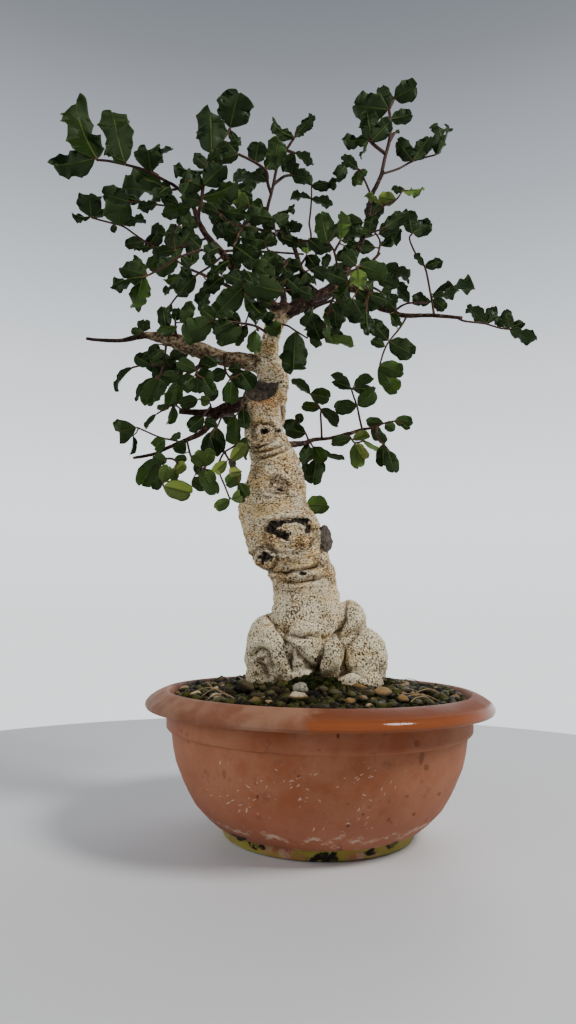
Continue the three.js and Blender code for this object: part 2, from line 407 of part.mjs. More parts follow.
// A tapered limb along points [x, y, z] with a radius at each: a cylinder whose rings are laid on the points
function limb(points, radii, sides) {
  const spots = points.map((p) => new THREE.Vector3(...p));
  const rings = spots.length - 1;
  const curve = new THREE.CatmullRomCurve3(spots, false, 'centripetal');
  const tangents = spots.map((spot, i) => curve.getTangent(i / rings));
  const start = Math.abs(tangents[0].z) < 0.8 ? new THREE.Vector3(0, 0, 1) : new THREE.Vector3(1, 0, 0);
  const normals = [];
  tangents.forEach((tangent, i) => {
    const carried = (i ? normals[i - 1] : start).clone();
    normals.push(carried.addScaledVector(tangent, -carried.dot(tangent)).normalize());
  });
  const geometry = new THREE.CylinderGeometry(1, 1, 1, sides, rings);
  const position = geometry.attributes.position;
  for (let i = 0; i < position.count; i += 1) {
    const ring = Math.round((position.getY(i) + 0.5) * rings);
    const side = new THREE.Vector3().crossVectors(normals[ring], tangents[ring]);
    const spot = spots[ring].clone()
      .addScaledVector(normals[ring], position.getX(i) * radii[ring])
      .addScaledVector(side, position.getZ(i) * radii[ring]);
    position.setXYZ(i, spot.x, spot.y, spot.z);
  }
  return toSolid(geometry);
}

function ellipsoid(centre, radii, around, down) {
  const geometry = new THREE.SphereGeometry(1, around, down);
  geometry.scale(...radii);
  geometry.translate(...centre);
  return toSolid(geometry);
}

const SPREAD_LIMBS = LIMBS.map(([name, sides, rows]) => (
  [name, sides, rows.map(([x, z, y, r]) => [x, z, name === 'live top' ? y : deepen(y), r])]
));

// Pot: one lathe profile, with drainage holes through the foot
function makePot() {
  const profile = [[0, 0], ...POT_OUTSIDE, ...POT_INSIDE, [0, POT_INSIDE.at(-1)[1]]];
  const lathe = new THREE.LatheGeometry(profile.map(([r, z]) => new THREE.Vector2(r, z)), POT_SIDES);
  lathe.rotateX(Math.PI / 2);
  let pot = toSolid(lathe);
  for (let i = 0; i < DRAIN_HOLES; i += 1) {
    const angle = ((i + 0.5) / DRAIN_HOLES) * 2 * Math.PI;
    const hole = new THREE.CylinderGeometry(DRAIN_HOLE_RADIUS, DRAIN_HOLE_RADIUS, 20, 8);
    hole.rotateX(Math.PI / 2);
    hole.translate(DRAIN_HOLE_RING * Math.cos(angle), DRAIN_HOLE_RING * Math.sin(angle), 0);
    pot = pot.subtract(toSolid(hole));
  }
  return pot;
}

// Soil: fills the pot, domed towards the trunk, with grit as relief and the larger pebbles in it
function soilHeight(x, y) {
  const reach = Math.hypot(x, y) / 121;
  const grit = 0.9 * Math.sin(x * 0.31 + 1.7 * Math.sin(y * 0.23)) + 0.7 * Math.sin(y * 0.37 + 2 * Math.sin(x * 0.19));
  return SOIL_CROWN - SOIL_EDGE_DROP * reach * reach + grit;
}

function makeSoil(trunkGrown) {
  const inside = POT_INSIDE.slice(1).reverse().map(([r, z]) => [r - SOIL_GAP, z + SOIL_GAP]);
  const rings = [120.6, 104, 84, 60];
  const profile = [[0, POT_INSIDE.at(-1)[1] + SOIL_GAP], ...inside, ...rings.map((r) => [r, 200]), [0, 200]];
  profile[inside.length + 1][0] = 120.2 - SOIL_GAP;
  const lathe = new THREE.LatheGeometry(profile.map(([r, z]) => new THREE.Vector2(r, z)), POT_SIDES);
  lathe.rotateX(Math.PI / 2);
  const position = lathe.attributes.position;
  for (let i = 0; i < position.count; i += 1) {
    if (position.getZ(i) < 199) continue;
    position.setZ(i, soilHeight(position.getX(i), position.getY(i)));
  }
  let soil = toSolid(lathe);
  const random = randomSource(SEED + 1);
  for (let i = 0; i < 10; i += 1) {
    const angle = random() * 2 * Math.PI;
    const reach = 62 + 46 * random();
    const x = reach * Math.cos(angle);
    const y = reach * Math.sin(angle);
    const stone = new THREE.IcosahedronGeometry(1, 0);
    stone.scale(3 + 3 * random(), 3 + 2.5 * random(), 2.4 + 1.6 * random());
    stone.rotateZ(random() * Math.PI);
    stone.translate(x, y, soilHeight(x, y) + 0.4);
    soil = soil.add(toSolid(stone));
  }
  return largestPiece(soil.subtract(trunkGrown));
}

// Trunk body from its outline rings, with low folds and wrinkles as relief
function trunkBody(grow) {
  const sides = 16;
  const rings = TRUNK_RINGS.length - 1;
  const geometry = new THREE.CylinderGeometry(1, 1, 1, sides, rings);
  const position = geometry.attributes.position;
  for (let i = 0; i < position.count; i += 1) {
    const [z, left, right, flat] = TRUNK_RINGS[Math.round((position.getY(i) + 0.5) * rings)];
    const half = (right - left) / 2 + grow;
    const around = Math.atan2(position.getZ(i), position.getX(i));
    const flare = Math.min(1, Math.max(0, (FLARE_TOP - z) / 25));
    const fold = 0.02 * Math.sin(3 * around + z * 0.05) + 0.1 * flare * Math.cos(6 * around);
    const relief = 1 + fold * (1 - Math.abs(Math.cos(around)) ** 6);
    const x = (left + right) / 2 + position.getX(i) * half * relief;
    const y = -position.getZ(i) * half * flat * relief;
    const lift = grow && z === TRUNK_BOTTOM ? -grow : 0;
    position.setXYZ(i, x, y, z + lift);
  }
  return toSolid(geometry);
}

function makeTrunk(grow) {
  const solids = [trunkBody(grow)];
  const floor = new THREE.BoxGeometry(400, 400, 100);
  floor.translate(0, 0, TRUNK_BOTTOM - 50 - grow);
  for (const [x, y, z, rx, ry, rz] of ROOT_LOBES) {
    solids.push(ellipsoid([x, y, z], [rx + grow, ry + grow, rz + grow], 9, 5).subtract(toSolid(floor)));
  }
  const { start, end, radius } = KNOB;
  const reach = [start, end].map(([x, z, y]) => seen(x, z, y));
  solids.push(limb(reach, [radius + grow, radius * 0.9 + grow], 11));
  let body = joinAll(solids);
  const cut = new THREE.BoxGeometry(120, 120, 60);
  cut.translate(0, 0, 30 + grow);
  cut.rotateX(STUB_CUT.tilt);
  cut.translate(STUB_CUT.x, STUB_CUT.y, STUB_CUT.z);
  body = body.subtract(toSolid(cut));
  for (const [, sides, rows] of SPREAD_LIMBS) {
    const points = rows.map(([x, z, y]) => seen(x, z, y));
    const radii = rows.map(([, , y, r]) => r * (1 + y / -EYE[1]) + grow);
    body = body.add(limb(points, radii, sides));
  }
  if (grow) return body;
  for (const [x, z, y, rx, ry, rz] of HOLLOWS) {
    body = body.subtract(ellipsoid(seen(x, z, y), [rx, ry, rz], 6, 4));
  }
  return body;
}

// Layout of one leaflet: where it leaves its twig, its base and tip, and how its blade is turned
function nearestOnTwigs(twigs, x, z) {
  let best = null;
  for (const twig of twigs) {
    for (let i = 0; i + 1 < twig.length; i += 1) {
      const [x0, z0, y0] = twig[i];
      const [x1, z1, y1] = twig[i + 1];
      const run = Math.hypot(x1 - x0, z1 - z0, y1 - y0);
      const clear = Math.min(0.45, ROOT_FROM_BEND / run);
      const first = twig === twigs[0] && i === 0 ? Math.min(0.8, ROOT_FROM_LIMB / run) : clear;
      const flat = (x1 - x0) ** 2 + (z1 - z0) ** 2;
      const along = ((x - x0) * (x1 - x0) + (z - z0) * (z1 - z0)) / flat;
      const t = Math.max(first, Math.min(1 - clear, along));
      const spot = [x0 + (x1 - x0) * t, z0 + (z1 - z0) * t, y0 + (y1 - y0) * t];
      const away = Math.hypot(spot[0] - x, spot[1] - z);
      if (!best || away < best.away - 1e-6) best = { spot, away };
    }
  }
  return best.spot;
}

function layLeaflet(twigs, row, draws, shift) {
  const [bx, bz, tx, tz, seenWidth] = row;
  const root = nearestOnTwigs(twigs, bx, bz);
  const seenLength = Math.hypot(tx - bx, tz - bz);
  const wanted = Math.max(seenLength, seenWidth / 0.74);
  const lean = Math.sqrt(Math.max(0, wanted * wanted - seenLength * seenLength));
  const base = seen(bx, bz, root[2] + shift * 0.5);
  const tip = seen(tx, tz, root[2] + shift + (draws[0] < 0.5 ? -lean : lean));
  const along = unit(sub(tip, base));
  const length = size(sub(tip, base));
  const sight = unit(sub(scale(add(base, tip), 0.5), EYE));
  const flatAcross = unit(cross(along, sight));
  const up = cross(flatAcross, along);
  const apparent = seenWidth * (1 + root[2] / -EYE[1]);
  const width = Math.max(apparent, 0.56 * length);
  const turn = Math.acos(Math.min(1, apparent / width)) * (draws[1] < 0.5 ? -1 : 1);
  const across = add(scale(flatAcross, Math.cos(turn)), scale(up, Math.sin(turn)));
  return {
    root: seen(root[0], root[1], root[2]),
    base,
    along,
    across,
    normal: cross(across, along),
    length,
    wanted,
    width,
    phase: draws[2] * 2 * Math.PI,
    arch: draws[3] < 0.5 ? -1 : 1,
  };
}

// Half width of a blade along its length, narrow at the base and widest past the middle
const BLADE_OUTLINE = [[0, 0.12], [0.14, 0.46], [0.3, 0.78], [0.48, 0.96], [0.66, 1], [0.82, 0.94], [1, 0.56]];

function outlineAt(s) {
  let i = 0;
  while (i < BLADE_OUTLINE.length - 2 && s > BLADE_OUTLINE[i + 1][0]) i += 1;
  const [s0, w0] = BLADE_OUTLINE[i];
  const [s1, w1] = BLADE_OUTLINE[i + 1];
  return w0 + ((w1 - w0) * (s - s0)) / (s1 - s0);
}

// A point of a blade at s along and u across from -1 to 1: the outline ripples, the edges wave up and down
// past the leaflet's foot, the middle is folded in and the end is drawn back between its two corners
function bladePoint(leaflet, s, u, grow) {
  const edge = Math.abs(u);
  const side = Math.sign(u);
  const free = s < 0.42 ? 0 : 1;
  const ripple = 1 + 0.1 * Math.sin(15 * s + leaflet.phase + side * free);
  const half = (leaflet.width / 2) * outlineAt(s) * ripple + grow;
  const end = s === 1 ? grow - leaflet.length * (0.06 - 0.06 * edge + 0.035 * (1 + side * leaflet.arch)) : 0;
  const wave = 0.2 * half * Math.sin(9.5 * s + leaflet.phase + 1.9 * side) * edge * free;
  const lift = leaflet.arch * 0.3 * leaflet.length * s * (1 - s) + 0.2 * half * edge + wave;
  return add(
    add(leaflet.base, scale(leaflet.along, leaflet.length * s + end)),
    add(scale(leaflet.across, u * half), scale(leaflet.normal, lift)),
  );
}

// One leaflet with its stalk: a plane laid along the blade's surface and drawn in to the twig, then given
// its thickness, with both faces split alike
function leafletSolid(leaflet, grow) {
  const { root, base, along, across, normal, length } = leaflet;
  const stalk = size(sub(base, root));
  const steps = length > LARGE_LEAFLET ? [0.22, 0.5, 0.78, 1] : length > MIDDLING_LEAFLET ? [0.28, 0.66, 1] : [0.4, 1];
  const turned = dot(sub(base, root), along) < 0.3 * stalk;
  if (stalk > 4 && !turned) steps.unshift(0);
  const columns = length > LARGE_LEAFLET ? 2 : 1;
  const rows = steps.length;
  const out = unit(sub(bladePoint(leaflet, steps[0], 0, 0), root));
  const slant = (axis) => (PETIOLE_HALF + grow) / Math.sqrt(Math.max(0.15, 1 - dot(out, axis) ** 2));
  const plane = new THREE.PlaneGeometry(2, rows, columns, rows);
  const position = plane.attributes.position;
  const points = [];
  for (const face of [1, -1]) {
    for (let i = 0; i < position.count; i += 1) {
      const u = position.getX(i);
      const step = Math.round(position.getY(i) + rows / 2);
      const spot = step === 0
        ? add(root, scale(across, u * slant(across)))
        : bladePoint(leaflet, steps[step - 1], u, grow);
      const thick = step === 0 ? slant(normal) : BLADE_THICKNESS / 2 + grow;
      points.push(...add(spot, scale(normal, face * thick)));
    }
  }
  return thickened(points, Array.from(plane.index.array), position.count);
}

// Closes a sheet held twice in the points, once for each face, with a wall round its edge
function thickened(points, sheet, count) {
  const index = [...sheet];
  const edges = new Map();
  for (let i = 0; i < sheet.length; i += 3) {
    const [a, b, c] = sheet.slice(i, i + 3);
    index.push(a + count, c + count, b + count);
    for (const [from, to] of [[a, b], [b, c], [c, a]]) {
      if (edges.has(`${to} ${from}`)) edges.delete(`${to} ${from}`);
      else edges.set(`${from} ${to}`, [from, to]);
    }
  }
  for (const [a, b] of edges.values()) index.push(a, a + count, b + count, a, b + count, b);
  const slab = new THREE.BufferGeometry();
  slab.setAttribute('position', new THREE.BufferAttribute(new Float32Array(points), 3));
  slab.setIndex(index);
  const solid = toSolid(slab);
  if (solid.volume() > 0) return solid;
  for (let i = 0; i < index.length; i += 3) [index[i], index[i + 1]] = [index[i + 1], index[i]];
  slab.setIndex(index);
  return toSolid(slab);
}

// Spots with a radius that stand for the limbs, twigs and leaflets when a leaflet is moved clear of them
const SHIFTS = [0, 4, -4, 8, -8, 12, -12, 16, -16, 21, -21, 26, -26];

function strandSpots(rows, radii) {
  const spots = [];
  for (let i = 0; i + 1 < rows.length; i += 1) {
    const run = Math.hypot(rows[i + 1][0] - rows[i][0], rows[i + 1][1] - rows[i][1], rows[i + 1][2] - rows[i][2]);
    const pieces = Math.max(1, Math.ceil(run / 5));
    for (let j = 0; j <= pieces; j += 1) {
      const at = [0, 1, 2].map((k) => rows[i][k] + ((rows[i + 1][k] - rows[i][k]) * j) / pieces);
      spots.push([...seen(...at), radii[i] + ((radii[i + 1] - radii[i]) * j) / pieces]);
    }
  }
  return spots;
}

function woodSpots() {
  const spots = TRUNK_RINGS.map(([z, left, right, flat]) => [(left + right) / 2, 0, z, ((right - left) / 2) * flat]);
  for (const [, , rows] of SPREAD_LIMBS) {
    spots.push(...strandSpots(rows.map(([x, z, y]) => [x, z, y]), rows.map((row) => row[3])));
  }
  return spots;
}

function bladeSpots(leaflet) {
  const spots = [];
  for (const s of [0.25, 0.4, 0.55, 0.7, 0.85, 1]) {
    for (const u of [-1, -0.35, 0.35, 1]) spots.push([...bladePoint(leaflet, s, u, 0), 0]);
  }
  return spots;
}

function clearance(spots, others) {
  let least = Infinity;
  for (const spot of spots) {
    for (const other of others) {
      const dx = spot[0] - other[0];
      const dy = spot[1] - other[1];
      const dz = spot[2] - other[2];
      const gap = Math.sqrt(dx * dx + dy * dy + dz * dz) - other[3];
      if (gap < least) least = gap;
    }
  }
  return least;
}

// Lays out every spray's leaflets, each moved along its line of sight until it is clear of what is there
function laySprays(sprays, random) {
  const wood = woodSpots();
  const twigSpots = sprays.map(([, radius, twigs]) => twigs.flatMap((twig) => (
    strandSpots(twig, twig.map(() => radius)).slice(1)
  )));
  const leafSpots = [];
  return sprays.map(([name, radius, drawnTwigs, rows], own) => {
    const twigs = drawnTwigs.map((twig, i) => (
      i ? [nearestOnTwigs(drawnTwigs.slice(0, i), twig[0][0], twig[0][1]), ...twig.slice(1)] : twig
    ));
    const others = [...wood, ...twigSpots.filter((spots, i) => i !== own).flat(), ...leafSpots.flat()];
    const mine = [];
    const leaflets = rows.map((row) => {
      const draws = [random(), random(), random(), random()];
      let best = null;
      for (const shift of SHIFTS) {
        for (const flip of [false, true]) {
          const leaflet = layLeaflet(twigs, row, flip ? [1 - draws[0], ...draws.slice(1)] : draws, shift);
          const spots = bladeSpots(leaflet);
          const ownTwigs = twigSpots[own].filter((spot) => size(sub(spot, leaflet.root)) > 5);
          const gap = Math.min(clearance(spots, others), 1.4 * clearance(spots, [...mine, ...ownTwigs]));
          const score = Math.min(gap, LEAF_SPACING) - 0.06 * (leaflet.length - leaflet.wanted);
          if (!best || score > best.score + 0.2) best = { leaflet, spots, score };
        }
        if (best.score > LEAF_SPACING - 0.3) break;
      }
      mine.push(...best.spots);
      return { ...best.leaflet, shade: row[5] };
    });
    leafSpots.push(mine);
    return { name, radius, twigs, leaflets };
  });
}

// The sprays behind follow one rule: leaflets in pairs along the twig, turned by seeded draws
function backSprayRows(twig, pairs, random) {
  const rows = [];
  for (let i = 0; i < pairs; i += 1) {
    const t = 0.25 + (0.75 * i) / (pairs - 1);
    const at = t * (twig.length - 1);
    const before = Math.min(twig.length - 2, Math.floor(at));
    const [x, z] = [0, 1].map((k) => twig[before][k] + (twig[before + 1][k] - twig[before][k]) * (at - before));
    for (const side of [-1, 1]) {
      const heading = Math.atan2(twig.at(-1)[1] - twig[0][1], twig.at(-1)[0] - twig[0][0]);
      const angle = heading + side * (0.7 + 0.7 * random());
      const length = 20 + 8 * random();
      rows.push([
        x + 3 * Math.cos(angle), z + 3 * Math.sin(angle),
        x + (3 + length) * Math.cos(angle), z + (3 + length) * Math.sin(angle),
        8 + 9 * random(), random() < 0.6 ? 0 : 1,
      ]);
    }
  }
  return rows;
}

function spraySolid(spray, grow) {
  const solids = [];
  for (const [order, twig] of spray.twigs.entries()) {
    const points = twig.map((p) => seen(...p));
    const radii = points.map((p, i) => 1.5 * spray.radius * (1 - (0.3 * i) / points.length) + grow);
    if (order) radii[0] *= 0.3;
    solids.push(limb(points, radii, 3));
  }
  for (const leaflet of spray.leaflets) solids.push(leafletSolid(leaflet, grow));
  return joinAll(solids);
}

function overlaps(a, b) {
  const p = a.boundingBox();
  const q = b.boundingBox();
  return [0, 1, 2].every((k) => p.min[k] < q.max[k] && q.min[k] < p.max[k]);
}

// Leaf colours from dark to yellow
const SHADES = [0x35452a, 0x48602f, 0x71904a, 0x93a84c, 0xb6ab45];

const tree = new THREE.Group();
tree.name = 'carob_bonsai';
const trunk = makeTrunk(0);
const trunkGrown = makeTrunk(SEAT_GAP);
tree.add(toMesh('pot', makePot(), 0x6b4636, 0.45));
tree.add(toMesh('soil', makeSoil(trunkGrown), 0x4a4034, 0.95));
tree.add(toMesh('trunk', trunk, 0xb3a184, 0.85));

const random = randomSource(SEED);
const backSprays = BACK_SPRAYS.map(([name, twig, pairs]) => [name, 1.1, [twig], backSprayRows(twig, pairs, random)]);
const spreadSprays = [...SPRAYS, ...backSprays].map(([name, radius, twigs, rows]) => (
  [name, radius, twigs.map((twig) => twig.map(([x, z, y]) => [x, z, deepen(y)])), rows]
));
const placed = [];
for (const spray of laySprays(spreadSprays, random)) {
  let solid = spraySolid(spray, 0).subtract(trunkGrown);
  for (const earlier of placed) {
    if (!overlaps(solid, earlier.grown)) continue;
    if (solid.intersect(earlier.grown).volume() > 1e-6) solid = solid.subtract(earlier.grown);
  }
  solid = largestPiece(solid);
  placed.push({ grown: spraySolid(spray, SEAT_GAP) });
  const shade = spray.leaflets.reduce((sum, leaflet) => sum + leaflet.shade, 0) / spray.leaflets.length;
  const color = new THREE.Color(SHADES[Math.floor(shade)]);
  color.lerp(new THREE.Color(SHADES[Math.min(4, Math.floor(shade) + 1)]), shade % 1);
  tree.add(toMesh(spray.name, solid, color, 0.6));
}

export default tree;
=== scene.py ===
"""Carob bonsai in a round plastic pot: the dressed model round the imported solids."""
import math
import random

import bmesh
import bpy
from bpy.props import FloatProperty, FloatVectorProperty, IntProperty, PointerProperty
from mathutils import Matrix, Vector, noise
import numpy as np


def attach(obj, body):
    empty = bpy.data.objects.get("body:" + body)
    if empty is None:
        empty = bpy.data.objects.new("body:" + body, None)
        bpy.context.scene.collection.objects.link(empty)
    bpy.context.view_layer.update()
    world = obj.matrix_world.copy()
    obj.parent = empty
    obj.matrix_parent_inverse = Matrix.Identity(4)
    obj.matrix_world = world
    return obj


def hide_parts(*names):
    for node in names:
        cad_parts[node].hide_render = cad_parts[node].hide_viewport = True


bl_info = {
    "name": "Carob bonsai",
    "version": (1, 0, 0),
    "blender": (4, 5, 0),
    "location": "View3D > Sidebar > Carob bonsai",
    "description": "Builds a carob bonsai with its pot, soil and leafy sprays",
    "category": "Add Mesh",
}

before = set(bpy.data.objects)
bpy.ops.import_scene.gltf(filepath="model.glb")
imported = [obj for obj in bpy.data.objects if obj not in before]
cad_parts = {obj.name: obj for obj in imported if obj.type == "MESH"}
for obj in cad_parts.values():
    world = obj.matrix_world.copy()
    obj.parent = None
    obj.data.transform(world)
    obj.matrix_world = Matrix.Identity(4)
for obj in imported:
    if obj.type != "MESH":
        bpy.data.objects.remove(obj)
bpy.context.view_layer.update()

# Lists are in millimetres and Blender is in metres
MM = 0.001
PER_METRE = 1000

# Positions in the lists are as seen from the front: x and z on the plane through the pot's middle, and a
# depth y behind it. A point slides along its line of sight from this eye point.
EYE = (0.0, -592.0, 171.0)
EYE_AWAY = -EYE[1]
DEPTH_SPREAD = 2
DEPTH_REACH = 110
SEED = 20260

